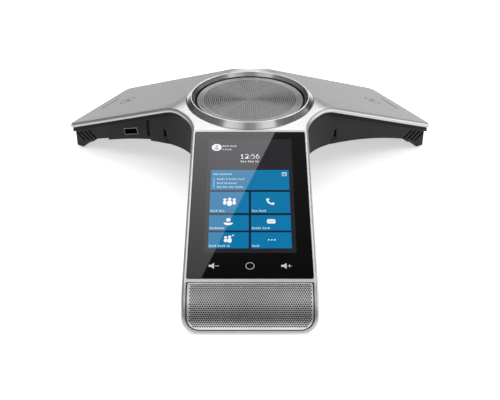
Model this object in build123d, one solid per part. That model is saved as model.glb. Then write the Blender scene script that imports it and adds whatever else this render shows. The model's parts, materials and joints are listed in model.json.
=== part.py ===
from build123d import *
import os
from math import asin, cos, degrees, radians, sin, sqrt, tan

# Three-armed conference IP phone that stands on a table.
# Frame: +Z up, front arm towards -Y, origin on the table under the middle of the footprint.
# Everything is modelled about the hub axis and shifted by HUB_Y when it is written.

# ---- Driving dimensions: millimetres and degrees -------------------------------------------
HUB_Y = 48.99            # hub axis, measured from the origin
CREST_Z = 70.0           # crest of the ring round the speaker
ARM_HALF = 44.3          # half the width of every arm
ARM_REACH = 159.1        # hub axis to the end face of a rear arm, in plan
ARM_AZIMUTH = 30.0       # rear arms, from the X axis, in plan
ARMPIT_R = 47.5          # plan radius between two arms
TIP_R = 6.5              # plan radius of a rear arm's end corners

HUB_Z = 66.9             # top plane of the hub on its axis
HUB_SLOPE = 1.46
FRONT_Z = 79.42          # display plane, carried back to the hub axis
FRONT_SLOPE = 15.08
REAR_Z = 84.6            # rear arm's plane, carried back to the hub axis
REAR_SLOPE = 21.36

NOSE_START = 199.55      # slope distance from the hub axis at which the nose starts to roll
NOSE_R1 = 29.0
NOSE_TURN1 = 50.0
NOSE_R2 = 27.0
NOSE_TURN2 = 86.0
NOSE_Z = 1.3             # lower edge of the nose
NOSE_CORNER_R = 11.0     # lower corners of the nose, seen from the front

LIP = 3.3                # height of the cover's visible edge
COVER_T = 2.2            # wall of the cover
EDGE_R = 2.3             # rounding of the cover's upper edge
FRONT_CREASE_R = 10.0
REAR_CREASE_R = 40.0
SEAM = 0.3               # gap between cover and base

BAND_INSET = 1.5         # upper band of the base
BAND_LOW = 7.6           # lower edge of that band, below the cover's top
WALL_INSET = 3.8         # main wall of the base
BASE_T = 2.2             # wall of the base
SOLE_Z = 2.0             # underside of the base at the feet
FOOT_SINK = 1.0          # depth of the pocket that holds a foot
REAR_FOOT = (6.4, 56.0)
REAR_FOOT_S = 151.2      # along a rear arm
FRONT_FOOT = (58.0, 9.0)
FRONT_FOOT_S = 201.0
ARCH_Z = 30.3            # underside of the base at the hub
ARCH_START = 35.0        # where the underside starts to fall, along each arm
REAR_ARCH_R = 290.0
REAR_ARCH_END = 128.5
FRONT_ARCH_R = 450.0
FRONT_ARCH_END = 166.0
ARCH_HALF = 54.0         # half the width of each arch, enough to meet its neighbours
HUB_REACH = 12.0         # how far each arch runs past the hub axis
TOE_R = 40.0             # tighter curve of the underside near each tip
TOE_TURN = 62.0

RING_R = 47.4            # crest of the speaker ring
RING_BASE_R = 51.6
RING_BASE_Z = 65.8
RING_BORE_R = 44.5
RING_BORE_Z = 67.0
GRILLE_R = 43.3
GRILLE_Z = 66.7
BAFFLE_Z = 60.0
BAFFLE_T = 2.5

GLASS_W = 82.8
GLASS_L = 140.4
GLASS_T = 1.1
GLASS_TOP = 56.15        # slope distance from the hub axis to the glass's upper edge
GLASS_GAP = 0.2

GRILLE_HALF = 41.0       # front grille, half width
GRILLE_TOP = 199.9       # slope distance to its upper edge
GRILLE_LOW = 4.75        # its lower edge above the table
GRILLE_CORNER = 8.4
GRILLE_GAP = 0.45
GRILLE_T = 1.0           # sheet of both grilles
CLOTH_T = 0.4

LCD_W = 65.5             # five-inch 9:16 panel
LCD_L = 118.0
LCD_TOP = 62.25          # slope distance to the panel's upper edge
KEYS_AT = 185.6          # slope distance of the three touch keys

LED_AT = 156.0           # slope distance of the light bar on a rear arm
LED_W = 24.0
LED_T = 1.5
LED_DEPTH = 3.7
MIC_AT = 153.0           # rear microphones, slope distance
MIC_R = 3.0
BOOT_R = 5.0
NOSE_MIC_TURN = 44.0     # slope of the nose over the front microphone

BAY_START = 73.0         # port bay on the left rear arm's front wall, along the arm
BAY_END = 116.0
BAY_PROUD = 1.5          # how far its outer end stands proud of the wall
BAY_TURN = 8.0
BAY_T = 2.5
USB_S = 94.0
USB_Z = 30.2
USB_TILT = 15.0
USB_W = 13.2
USB_H = 5.9
USB_T = 0.35
USB_DEPTH = 15.0
SERVICE_S = 75.9         # upright service port beside it
SERVICE_Z = 37.0
SERVICE_W = 4.6
SERVICE_H = 14.5
SERVICE_SINK = 1.6       # depth of its recess
SERVICE_PORT_W = 2.4
SERVICE_PORT_H = 7.6
SERVICE_PORT_DEPTH = 5.4
SERVICE_PORT_RISE = 1.6  # above the middle of the recess
SHELL_T = 0.25

LOCK_S = 57.6            # lock slot in a rear arm's front wall
LOCK_Z = 38.7
LOCK_W = 2.3
LOCK_H = 7.0
SCOOP_R = 8.0            # shallow scoop beside it
SCOOP_L = 7.0
SCOOP_SINK = 0.8
SCOOP_LEAN = 38.0
TIP_SLOTS = 4            # slanted sound slots near a rear arm's tip
TIP_SLOT_S = 135.1       # middle of the first one
TIP_SLOT_Z = 17.2
TIP_SLOT_PITCH = 4.5
TIP_SLOT_DROP = 1.75
TIP_SLOT_T = 1.9
TIP_SLOT_L = 10.6
TIP_SLOT_LEAN = 34.5

POST_R = 2.6             # posts under the cover, and the screws in them
SOCKET_R = 4.6
HEAD_R = 2.75
HEAD_H = 1.8
SHANK_R = 1.45
PILOT_R = 1.5
SEAT = 4.0               # screw seat above the underside
GRIP = 3.0               # base material under a cover post
BITE = 7.0               # screw length inside a cover post
REAR_SITES = [(80.0, 27.0), (80.0, -27.0), (115.0, 0.0)]
FRONT_SITES = [(35.6, 70.0), (35.6, 186.0)]
BAFFLE_POST_AZIMUTHS = (42.0, 138.0, -48.0, -132.0)
BAFFLE_POST_AT = 47.3
BAFFLE_POST_R = 3.2
SMALL_PILOT_R = 1.05

BOARD_W = 58.0
BOARD_L = 112.0
BOARD_AT = 124.0         # slope distance of the main board's middle
BOARD_DEPTH = 12.0
BOARD_T = 1.6
BOARD_POST_R = 2.8
BOARD_HOLES = [(x, y) for x in (-24.5, 24.5) for y in (-52.0, 52.0)]
CHIPS_ABOVE = [(-14, -22, 12, 9), (6, -20, 9, 9), (-16, -36, 7, 6), (18, -34, 6, 8), (20, 30, 8, 10)]
CHIPS_BELOW = [(-16, 10, 12, 12), (10, 14, 10, 8), (0, -18, 14, 9)]
CHIP_H = 1.6             # processor, under the shield can
CAN_W = 34.0
CAN_L = 32.0
CAN_H = 2.6
CAN_T = 0.2
CAN_X = -8.0
CAN_AT = BOARD_AT - 20

JACK_W = 16.0
JACK_H = 13.5
JACK_D = 21.0
JACK_Y = 54.4            # face of the network jack, in the wall between the rear arms
JACK_Z = 34.8            # its underside
JACK_MOUTH_W = 11.9
JACK_MOUTH_H = 7.6
CONTACTS = 8
CONTACT_PITCH = 1.02

CABLE_R = 1.1
ARM_CABLE = [            # main board to the right rear tip
    (20, -66, 53.5), (26, -57, 50.5), (36, -44, 41), (44, -24, 37),
    (54, 6, 36), (76, 34, 35), (104, 47.3, 32), (115, 54.8, 27),
]
JACK_CABLE = [           # network jack to the main board
    (0, 31.5, 37.2), (-14, 27, 37.4), (-30, 6, 37.4), (-26, -30, 38.5),
    (-17, -50, 46), (-13, -58, 51), (-8, -66, 53.5),
]
PLATE_W = 46.0           # blank rating plate under the hub
PLATE_L = 24.0
PLATE_T = 0.3

FRONT_RUN = 250.0        # longer than the front arm
BIG = 400.0

# ---- Frames --------------------------------------------------------------------------------
F = radians(FRONT_SLOPE)
B = radians(REAR_SLOPE)
A = radians(ARM_AZIMUTH)
FRONT = Plane(origin=(0, 0, FRONT_Z), x_dir=(1, 0, 0), z_dir=(0, -sin(F), cos(F)))
REAR = Plane(
    origin=(0, 0, REAR_Z),
    x_dir=(cos(A) * cos(B), sin(A) * cos(B), -sin(B)),
    z_dir=(cos(A) * sin(B), sin(A) * sin(B), cos(B)),
)
ARM = Plane(origin=(0, 0, 0), x_dir=(cos(A), sin(A), 0), z_dir=(0, 0, 1))


def on_front(x, distance, depth):
    """A place on the front arm: across, down the slope, and below the surface."""
    return FRONT * Pos(x, -distance, -depth)


def on_rear(distance, across, depth):
    """A place on the right rear arm, laid out in the same way."""
    return REAR * Pos(distance, across, -depth)


def both(shape):
    """The shape and its mirror image on the other side of the phone."""
    return [shape, mirror(shape, about=Plane.YZ)]


def group(*shapes):
    return Compound([solid for shape in shapes for solid in shape.solids()])


def tube(outer, inner, low, high):
    ring = Circle(outer) - Circle(inner)
    return Pos(0, 0, low) * extrude(ring, amount=high - low)


def slab(width, length, thick, radius):
    """A rounded plate whose top face lies at local z = 0."""
    return extrude(RectangleRounded(width, length, radius), amount=-thick)


# ---- The outer form, at any inset and depth ------------------------------------------------
def nose_normal(angle):
    return Vector(0, -sin(radians(angle)), cos(radians(angle)))


def nose_point(angle, depth):
    """Point of the nose profile where its slope is the given angle."""
    start = Vector(0, -NOSE_START * cos(F), FRONT_Z - NOSE_START * sin(F))
    centre = start - nose_normal(FRONT_SLOPE) * NOSE_R1
    radius = NOSE_R1
    if angle > NOSE_TURN1:
        centre = centre + nose_normal(NOSE_TURN1) * (NOSE_R1 - NOSE_R2)
        radius = NOSE_R2
    return centre + nose_normal(angle) * (radius - depth)


def side_profile(depth):
    """Everything under the hub and front planes and behind the nose, in the Y-Z plane."""
    def flat(point):
        return (point.Y, point.Z)

    start = nose_point(FRONT_SLOPE, depth)
    middle1 = nose_point((FRONT_SLOPE + NOSE_TURN1) / 2, depth)
    turn = nose_point(NOSE_TURN1, depth)
    middle2 = nose_point((NOSE_TURN1 + NOSE_TURN2) / 2, depth)
    end = nose_point(NOSE_TURN2, depth)
    toe_y = end.Y - (end.Z + 5) / tan(radians(NOSE_TURN2))
    hub_rise = tan(radians(HUB_SLOPE))
    hub_z = HUB_Z - depth
    front_z = FRONT_Z - depth / cos(F)
    crease_y = (hub_z - front_z) / (tan(F) - hub_rise)
    crease = (crease_y, hub_z + hub_rise * crease_y)
    back = (200, hub_z + hub_rise * 200)
    with BuildSketch(Plane.YZ) as sketch:
        with BuildLine():
            Line(back, crease)
            Line(crease, flat(start))
            ThreePointArc(flat(start), flat(middle1), flat(turn))
            ThreePointArc(flat(turn), flat(middle2), flat(end))
            Polyline(flat(end), (toe_y, -5), (200, -5), back)
        make_face()
        corner = sketch.vertices().sort_by_distance((0, crease[0], crease[1]))[0]
        fillet(corner, FRONT_CREASE_R)
    return sketch.sketch


def outline(inset):
    """Plan of the three arms, with round armpits and round tips."""
    half = ARM_HALF - inset
    reach = ARM_REACH - inset
    star = Pos(0, -FRONT_RUN / 2) * Rectangle(2 * half, FRONT_RUN)
    for azimuth in (ARM_AZIMUTH, 180 - ARM_AZIMUTH):
        star += Rot(0, 0, azimuth) * Pos(reach / 2, 0) * Rectangle(reach, 2 * half)
    corners = star.vertices().sort_by_distance((0, 0, 0))
    star = fillet(corners[:3], ARMPIT_R + inset)
    tips = [v for v in star.vertices() if (Vector(v) - Vector(0, 0, 0)).length > reach and v.Y > 0]
    return fillet(tips, max(TIP_R - inset, 1.0))


def envelope(inset, depth, low=-5.0, round_nose=True):
    """The phone's outer form, drawn in by inset and lowered by depth."""
    body = Pos(0, 0, low) * extrude(outline(inset), amount=95)
    body &= extrude(side_profile(depth), amount=BIG / 2, both=True)
    for below in both(REAR * Pos(0, 0, -depth - BIG / 2) * Box(BIG * 2, BIG * 2, BIG)):
        body &= below
    body = fillet(rear_creases(body, depth), REAR_CREASE_R - depth)
    if round_nose:
        radius = NOSE_CORNER_R - inset
        half = ARM_HALF - inset
        block = Pos(half, -200, low) * Box(2 * radius, 100, 2 * radius)
        rod = Pos(half - radius, -200, low + radius) * Rot(90, 0, 0) * Cylinder(radius, 110)
        for corner in both(block - rod):
            body -= corner
    return body


def rim_edges(body):
    """Edges where the upper skin meets the walls, round the whole outline and the nose."""
    skin = [face for face in body.faces() if face.normal_at().Z > 0.03]
    walls = [face for face in body.faces() if face.normal_at().Z <= 0.03]
    wall_edges = [edge for face in walls for edge in face.edges()]
    chosen = []
    for edge in [edge for face in skin for edge in face.edges()]:
        if any(edge.is_same(other) for other in wall_edges):
            chosen.append(edge)
    return chosen


def rear_creases(body, depth):
    """Edges where the hub plane, lowered by depth, meets the rear arms' planes."""
    found = []
    for edge in body.edges().filter_by(GeomType.LINE):
        middle = edge @ 0.5
        level = abs(middle.Z - HUB_Z + depth - tan(radians(HUB_SLOPE)) * middle.Y) < 0.01
        if level and edge.length > 40 and middle.Y > 0:
            found.append(edge)
    return found


# ---- Underside arches ----------------------------------------------------------------------
def arch_profile(extra, radius, end):
    """Space under an arm, in its own vertical plane, grown by extra."""
    turn1 = degrees(asin((end - ARCH_START) / radius))

    def place(centre, size, angle):
        return (centre[0] + size * sin(radians(angle)), centre[1] + size * cos(radians(angle)))

    centre1 = (ARCH_START, ARCH_Z - radius)
    centre2 = place(centre1, radius - TOE_R, turn1)
    top = (ARCH_START, ARCH_Z + extra)
    join = place(centre1, radius + extra, turn1)
    toe = place(centre2, TOE_R + extra, TOE_TURN)
    with BuildSketch(Plane.XZ) as sketch:
        with BuildLine():
            Line((-HUB_REACH, ARCH_Z + extra), top)
            ThreePointArc(top, place(centre1, radius + extra, turn1 / 2), join)
            ThreePointArc(join, place(centre2, TOE_R + extra, (turn1 + TOE_TURN) / 2), toe)
            Polyline(toe, (toe[0], -60), (-HUB_REACH, -60), (-HUB_REACH, ARCH_Z + extra))
        make_face()
    return sketch.sketch


def arch_height(distance, radius=REAR_ARCH_R):
    """Height of the underside over the table, at a distance along an arm."""
    run = max(distance - ARCH_START, 0.0)
    return ARCH_Z - radius + sqrt(radius**2 - run**2)


def arches(extra):
    """The space under all three arms."""
    rear = extrude(arch_profile(extra, REAR_ARCH_R, REAR_ARCH_END), amount=ARCH_HALF, both=True)
    front = extrude(arch_profile(extra, FRONT_ARCH_R, FRONT_ARCH_END), amount=ARCH_HALF, both=True)
    return both(Rot(0, 0, ARM_AZIMUTH) * rear) + [Rot(0, 0, -90) * front]


# ---- Front window and its grille -----------------------------------------------------------
def nose_window(gap):
    """Column that the front grille fills, seen from the front, grown by gap."""
    half = GRILLE_HALF + gap
    low = GRILLE_LOW - gap
    radius = GRILLE_CORNER + gap
    shape = Pos(0, low + 40) * Rectangle(2 * half, 80)
    shape = fillet(shape.vertices().group_by(Axis.Y)[0], radius)
    column = extrude(Plane.XZ * shape, amount=FRONT_RUN)
    ahead = FRONT * Pos(0, -GRILLE_TOP + gap - BIG / 2, 0) * Box(BIG, BIG, BIG)
    return column & ahead


def nose_sheet(near, far, gap):
    """A sheet that follows the nose between two depths, inside the window."""
    band = extrude(side_profile(near) - side_profile(far), amount=GRILLE_HALF + 5, both=True)
    return band & nose_window(gap)


# ---- Screw sites between cover and base ----------------------------------------------------
def screw_sites():
    """Screw places as (x, y, height of the underside there)."""
    sites = []
    for distance, across in REAR_SITES:
        x = distance * cos(A) - across * sin(A)
        y = distance * sin(A) + across * cos(A)
        sites += [(x, y, arch_height(distance)), (-x, y, arch_height(distance))]
    for x, distance in FRONT_SITES:
        low = SOLE_Z if distance > FRONT_ARCH_END else arch_height(distance, FRONT_ARCH_R)
        sites += [(x, -distance * cos(F), low), (-x, -distance * cos(F), low)]
    return sites


def cover_posts(sites):
    """Posts that hang from the cover or the display bracket and take the base screws."""
    posts = []
    for x, y, low in sites:
        joint = low + SEAT + GRIP
        post = Pos(x, y, joint + 30) * Cylinder(POST_R, 60)
        posts.append(post - Pos(x, y, joint) * Cylinder(PILOT_R, 2 * (BITE + 1)))
    return posts


def make_base_screws():
    screws = []
    for x, y, low in screw_sites():
        seat = low + SEAT
        head = Pos(x, y, seat - HEAD_H / 2) * Cylinder(HEAD_R, HEAD_H)
        cross = Box(3.2, 0.7, 1.6) + Box(0.7, 3.2, 1.6)
        shank = Pos(x, y, seat + (GRIP + BITE) / 2) * Cylinder(SHANK_R, GRIP + BITE)
        screws.append(head - Pos(x, y, seat - HEAD_H) * cross + shank)
    return group(*screws)


# ---- Casings -------------------------------------------------------------------------------
def make_top_cover():
    shell = envelope(0, 0, low=NOSE_Z)
    shell = fillet(rim_edges(shell), EDGE_R)
    shell -= envelope(-6, LIP, low=-20, round_nose=False)
    shell -= envelope(COVER_T, COVER_T, low=-20, round_nose=False)
    shell -= Cylinder(RING_BASE_R + 0.2, BIG)
    middle = GLASS_TOP + GLASS_L / 2
    glass_hole = RectangleRounded(GLASS_W + 2 * GLASS_GAP, GLASS_L + 2 * GLASS_GAP, 1.4)
    shell -= on_front(0, middle, 10) * extrude(glass_hole, amount=20)
    shell -= nose_window(GRILLE_GAP)
    for slot in both(on_rear(LED_AT, 0, 0) * Box(LED_T + 0.2, LED_W + 0.3, 10)):
        shell -= slot
    posts = cover_posts([site for site in screw_sites() if site[1] > -40])
    inside = envelope(COVER_T + 0.5, COVER_T - 0.2)
    for post in posts:
        shell += post & inside
    return shell


def bay_place(distance, height, tilt):
    """A place on the bay's face on the right rear arm, facing out of it and tilted in its plane."""
    along = Vector(cos(A), sin(A), 0)
    outward = Vector(sin(A), -cos(A), 0)
    turn = radians(BAY_TURN)
    ahead = outward * cos(turn) - along * sin(turn)
    level = along * cos(turn) + outward * sin(turn)
    across = level * cos(radians(tilt)) - Vector(0, 0, sin(radians(tilt)))
    spot = along * distance + outward * bay_face(distance) + Vector(0, 0, height)
    return Plane(origin=spot, x_dir=across, z_dir=ahead)


def usb_place():
    return bay_place(USB_S, USB_Z, USB_TILT)


def service_place():
    return bay_place(SERVICE_S, SERVICE_Z, 0)


def bay_face(distance):
    """Distance of the bay's flat face from the arm's axis."""
    outer = ARM_HALF - WALL_INSET + BAY_PROUD
    return outer - (BAY_END - distance) * tan(radians(BAY_TURN))


def bay_block(thickness, ahead, sink, spare):
    """Block behind and ahead of the bay's flat face, on the right arm."""
    level = Plane(
        origin=ARM.from_local_coords((BAY_END, -bay_face(BAY_END), 0)),
        x_dir=Vector(cos(A - radians(BAY_TURN)), sin(A - radians(BAY_TURN)), 0),
        z_dir=(0, 0, 1),
    )
    length = (BAY_END - BAY_START) / cos(radians(BAY_TURN)) + 2 * spare
    depth = thickness + ahead
    block = Pos(-length / 2 + spare, thickness - depth / 2, 30) * Box(length, depth, 60)
    block = level * block
    block &= REAR * Pos(0, 0, -BAND_LOW - BIG / 2) * Box(BIG * 2, BIG * 2, BIG)
    return block - Pos(0, 0, -sink) * arches(0)[0]


def side_slot():
    """Lock slot in a rear arm's front wall with its shallow scoop, as a cutter."""
    wall = ARM_HALF - WALL_INSET
    slot = ARM * Pos(LOCK_S, -wall, LOCK_Z) * Box(LOCK_W, 12, LOCK_H)
    run = ARM * Pos(LOCK_S - 2.8, -wall - SCOOP_R + SCOOP_SINK, LOCK_Z - 3.7) * Rot(0, SCOOP_LEAN, 0)
    scoop = run * Cylinder(SCOOP_R, SCOOP_L)
    for end in (-SCOOP_L / 2, SCOOP_L / 2):
        scoop += run * Pos(0, 0, end) * Sphere(SCOOP_R)
    return [slot, scoop]


def tip_slots():
    """Slanted sound slots in both walls near a rear arm's tip, as cutters."""
    wall = ARM_HALF - WALL_INSET
    cutters = []
    for index in range(TIP_SLOTS):
        s = TIP_SLOT_S + TIP_SLOT_PITCH * index
        z = TIP_SLOT_Z - TIP_SLOT_DROP * index
        for side in (-1, 1):
            slot = Rot(0, -TIP_SLOT_LEAN, 0) * Box(TIP_SLOT_L, 8, TIP_SLOT_T)
            cutters.append(ARM * Pos(s, side * wall, z) * slot)
    return cutters


def foot_pockets(spare, low, high):
    """Shapes of the three feet."""
    height = high - low
    rear_shape = RectangleRounded(REAR_FOOT[0] + spare, REAR_FOOT[1] + spare, 3)
    front_shape = RectangleRounded(FRONT_FOOT[0] + spare, FRONT_FOOT[1] + spare, 4)
    rear = ARM * Pos(REAR_FOOT_S, 0, low) * extrude(rear_shape, amount=height)
    return both(rear) + [Pos(0, -FRONT_FOOT_S, low) * extrude(front_shape, amount=height)]


def nose_frame(angle):
    return Plane(origin=nose_point(angle, 0), x_dir=(1, 0, 0), z_dir=nose_normal(angle))


def make_base():
    body = envelope(BAND_INSET, LIP + SEAM, low=SOLE_Z) - envelope(-6, BAND_LOW, low=-20, round_nose=False)
    body += envelope(WALL_INSET, 5.0, low=SOLE_Z)
    inner = WALL_INSET + BASE_T
    hollow = envelope(inner, LIP + SEAM + BASE_T, low=SOLE_Z + BASE_T)
    upper = Pos(0, 0, SOLE_Z + BASE_T) * extrude(outline(inner), amount=90)
    hollow += upper & Pos(0, BIG / 2 - 184, 0) * Box(BIG, BIG, BIG)
    for arch in arches(BASE_T):
        hollow -= arch
    body -= hollow
    for arch in arches(0):
        body -= arch

    for x, y, low in screw_sites():
        socket = Pos(x, y, low + (SEAT + GRIP) / 2) * Cylinder(SOCKET_R, SEAT + GRIP)
        for arch in arches(0.2):
            socket -= arch
        body += socket & Pos(0, 0, SOLE_Z + 50) * Box(BIG, 2 * BIG, 100)
    for azimuth in BAFFLE_POST_AZIMUTHS:
        spot = Rot(0, 0, azimuth) * Pos(BAFFLE_POST_AT, 0, 0)
        top = BAFFLE_Z - BAFFLE_T
        post = spot * Pos(0, 0, (ARCH_Z + 1 + top) / 2) * Cylinder(BAFFLE_POST_R, top - ARCH_Z - 1)
        body += post - spot * Pos(0, 0, top) * Cylinder(SMALL_PILOT_R, 16)
    for x, y in BOARD_HOLES:
        post = on_front(x, BOARD_AT - y, BOARD_DEPTH + BOARD_T + 20) * Cylinder(BOARD_POST_R, 40)
        for arch in arches(0.5):
            post -= arch
        body += post & Pos(0, 0, SOLE_Z + 50.5) * Box(BIG, 2 * BIG, 100)
        body -= on_front(x, BOARD_AT - y, BOARD_DEPTH + BOARD_T) * Cylinder(SMALL_PILOT_R, 10)

    for x, y, low in screw_sites():
        body -= Pos(x, y, low) * Cylinder(SHANK_R + 0.25, 30)
        body -= Pos(x, y, low + SEAT - 15) * Cylinder(HEAD_R + 0.4, 30)
    for cutter in [c for part in side_slot() + tip_slots() for c in both(part)]:
        body -= cutter
    body -= mirror(bay_block(BAY_T + 0.1, 20, 40, 0.1), about=Plane.YZ)
    for pocket in foot_pockets(0.3, 0, SOLE_Z + FOOT_SINK):
        body -= pocket
    body -= Pos(0, JACK_Y, JACK_Z + JACK_H / 2) * Box(JACK_W + 0.5, 12, JACK_H + 0.5)
    body -= nose_frame(NOSE_MIC_TURN) * Cylinder(4.7, 30)
    return body


def make_port_panel():
    panel = bay_block(BAY_T, 0, 1.0, 0)
    panel -= usb_place() * Box(USB_W + 0.8, USB_H + 0.8, 12)
    panel -= service_place() * Box(SERVICE_W, SERVICE_H, 2 * SERVICE_SINK)
    hole = Pos(0, SERVICE_PORT_RISE, 0) * Box(SERVICE_PORT_W + 0.2, SERVICE_PORT_H + 0.2, 12)
    panel -= service_place() * hole
    return mirror(panel, about=Plane.YZ)


def make_usb_port():
    place = usb_place()
    shell = Pos(0, 0, -USB_DEPTH / 2 - 0.4) * Box(USB_W, USB_H, USB_DEPTH)
    shell -= Pos(0, 0, -USB_DEPTH / 2 + 0.4) * Box(USB_W - 2 * USB_T, USB_H - 2 * USB_T, USB_DEPTH)
    return mirror(place * shell, about=Plane.YZ)


def make_usb_tongue():
    place = usb_place()
    tongue = Pos(0, 1.2, -9.6) * Box(11.1, 1.9, 9.4)
    core = Pos(0, 0, -13.7) * Box(USB_W - 2 * USB_T - 0.1, USB_H - 2 * USB_T - 0.1, 1.6)
    return mirror(place * (tongue + core), about=Plane.YZ)


def make_usb_board():
    place = usb_place()
    board = Pos(0, USB_H / 2 + 0.9, -11.5) * Box(20, 1.6, 17)
    return mirror(place * board, about=Plane.YZ)


def make_service_port():
    """Upright micro-size port: its shell with the contact tongue inside."""
    middle = -SERVICE_SINK - SERVICE_PORT_DEPTH / 2
    inner_w = SERVICE_PORT_W - 2 * SHELL_T
    inner_h = SERVICE_PORT_H - 2 * SHELL_T
    shell = Pos(0, 0, middle) * Box(SERVICE_PORT_W, SERVICE_PORT_H, SERVICE_PORT_DEPTH)
    shell -= Pos(0, 0, middle + 1) * Box(inner_w, inner_h, SERVICE_PORT_DEPTH)
    tongue = Pos(0, 0, middle - 0.7) * Box(0.6, inner_h - 2, SERVICE_PORT_DEPTH - 3)
    return mirror(service_place() * Pos(0, SERVICE_PORT_RISE, 0) * (shell + tongue), about=Plane.YZ)


# ---- Speaker -------------------------------------------------------------------------------
def revolved(points):
    """A ring made by turning a closed outline of (radius, height) points."""
    with BuildSketch(Plane.XZ) as sketch:
        with BuildLine():
            Polyline(*points, close=True)
        make_face()
    return revolve(sketch.sketch, Axis.Z)


def make_speaker_ring():
    ring = revolved([
        (RING_R, CREST_Z),
        (RING_BASE_R, RING_BASE_Z),
        (RING_BASE_R, BAFFLE_Z),
        (RING_BASE_R - 2, BAFFLE_Z),
        (RING_BASE_R - 2, RING_BASE_Z - 0.8),
        (RING_R - 0.2, CREST_Z - 2.8),
        (RING_BORE_R + 1.8, RING_BORE_Z - 1.2),
        (RING_BORE_R + 1.8, BAFFLE_Z),
        (RING_BORE_R, BAFFLE_Z),
        (RING_BORE_R, RING_BORE_Z),
        (RING_R - 0.2, CREST_Z - 0.2),
    ])
    crest = [edge for edge in ring.edges() if edge.center().Z > CREST_Z - 0.1]
    return fillet(crest, 0.35) if crest else ring


def make_speaker_grille():
    """Shallow steel pan that stands on the baffle, open below."""
    depth = GRILLE_Z - BAFFLE_Z
    pan = Pos(0, 0, BAFFLE_Z + depth / 2) * Cylinder(GRILLE_R, depth)
    pan = fillet(pan.edges().group_by(Axis.Z)[-1], 0.6)
    return pan - Pos(0, 0, BAFFLE_Z + depth / 2 - GRILLE_T) * Cylinder(GRILLE_R - GRILLE_T, depth)


def make_speaker_baffle():
    plate = tube(RING_BASE_R - 0.1, 37.5, BAFFLE_Z - BAFFLE_T, BAFFLE_Z)
    for azimuth in BAFFLE_POST_AZIMUTHS:
        spot = Rot(0, 0, azimuth) * Pos(BAFFLE_POST_AT, 0, 0)
        plate -= spot * Pos(0, 0, BAFFLE_Z) * Cylinder(1.3, 10)
        plate -= spot * Pos(0, 0, BAFFLE_Z) * Cylinder(2.6, 2.4)
    return plate


def make_speaker_screws():
    screws = []
    for azimuth in BAFFLE_POST_AZIMUTHS:
        spot = Rot(0, 0, azimuth) * Pos(BAFFLE_POST_AT, 0, BAFFLE_Z - 1.2)
        head = spot * Pos(0, 0, 0.5) * Cylinder(2.0, 1.0)
        screws.append(head + spot * Pos(0, 0, -3.5) * Cylinder(1.0, 7))
    return group(*screws)


def make_speaker_basket():
    basket = revolved([
        (36.0, 57.5), (41.0, 57.5), (41.0, 56.0), (37.4, 56.0), (25.9, 46.4), (23.0, 45.0),
        (12.0, 45.0), (12.0, 46.2), (20.0, 46.5), (20.0, 48.0), (24.6, 48.0), (34.6, 56.4),
    ])
    for azimuth in range(0, 360, 60):
        basket -= Rot(0, 0, azimuth) * Pos(31, 0, 52.0) * Rot(0, 40, 0) * Box(16, 14, 9)
    return basket


def make_speaker_top_plate():
    return tube(22.0, 11.0, 43.0, 45.0)


def make_speaker_magnet():
    return tube(23.0, 13.0, 35.6, 43.0)


def make_speaker_back_plate():
    return tube(22.0, 0.5, 33.6, 35.6) + tube(8.9, 0.5, 35.6, 45.0)


def make_voice_coil():
    return tube(10.3, 9.6, 38.2, 49.4)


def make_speaker_cone():
    return revolved([(10.3, 49.4), (31.0, 57.0), (31.0, 57.6), (10.0, 50.0), (9.6, 49.4)])


def make_dust_cap():
    dome = Pos(0, 0, 50.2 - 15.0) * (Sphere(18.4) - Sphere(18.0))
    cap = dome & Pos(0, 0, 51.0 + 10) * Cylinder(9.5, 20)
    return cap


def make_speaker_surround():
    centre = 33.4
    roll = Pos(0, 0, 57.6) * (Torus(centre, 2.3) - Torus(centre, 1.8))
    roll &= Pos(0, 0, 57.6 + 5) * Cylinder(60, 10)
    return roll + tube(37.3, 35.2, 57.5, 58.0) + tube(31.6, 30.4, 57.6, 58.1)


def make_speaker_spider():
    points = [(10.4, 48.2), (10.4, 48.6)]
    top = [(11.5 + 1.2 * i, 49.1 if i % 2 == 0 else 48.5) for i in range(8)]
    low = [(r, z - 0.4) for r, z in reversed(top)]
    return revolved(points + top + [(23.6, 48.5), (23.6, 48.1)] + low)


def make_speaker_cloth():
    top = GRILLE_Z - GRILLE_T - 0.1
    return tube(GRILLE_R - GRILLE_T - 0.3, 0.2, top - CLOTH_T, top)


def make_speaker_gasket():
    return tube(GRILLE_R - GRILLE_T - 0.7, 38.0, BAFFLE_Z, GRILLE_Z - GRILLE_T - CLOTH_T - 0.5)


# ---- Display -------------------------------------------------------------------------------


def make_touch_glass():
    glass = on_front(0, GLASS_TOP + GLASS_L / 2, 0) * slab(GLASS_W, GLASS_L, GLASS_T, 1.2)
    return chamfer(glass.faces().sort_by(Axis.Z)[-1].edges(), 0.15)


def make_glass_gasket():
    place = on_front(0, GLASS_TOP + GLASS_L / 2, GLASS_T)
    window = on_front(0, LCD_TOP + LCD_L / 2, GLASS_T) * slab(LCD_W + 2, LCD_L + 1.5, 0.6, 1)
    keys = on_front(0, KEYS_AT, GLASS_T) * slab(68, 10.5, 0.6, 1)
    return place * slab(GLASS_W - 1, GLASS_L - 1, 0.5, 1) - window - keys


def make_lcd_panel():
    return on_front(0, LCD_TOP + LCD_L / 2, GLASS_T) * slab(LCD_W, LCD_L, 1.5, 0.8)


def make_lcd_backlight():
    return on_front(0, LCD_TOP + LCD_L / 2, GLASS_T + 1.5) * slab(LCD_W, LCD_L, 1.6, 0.8)


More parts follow.
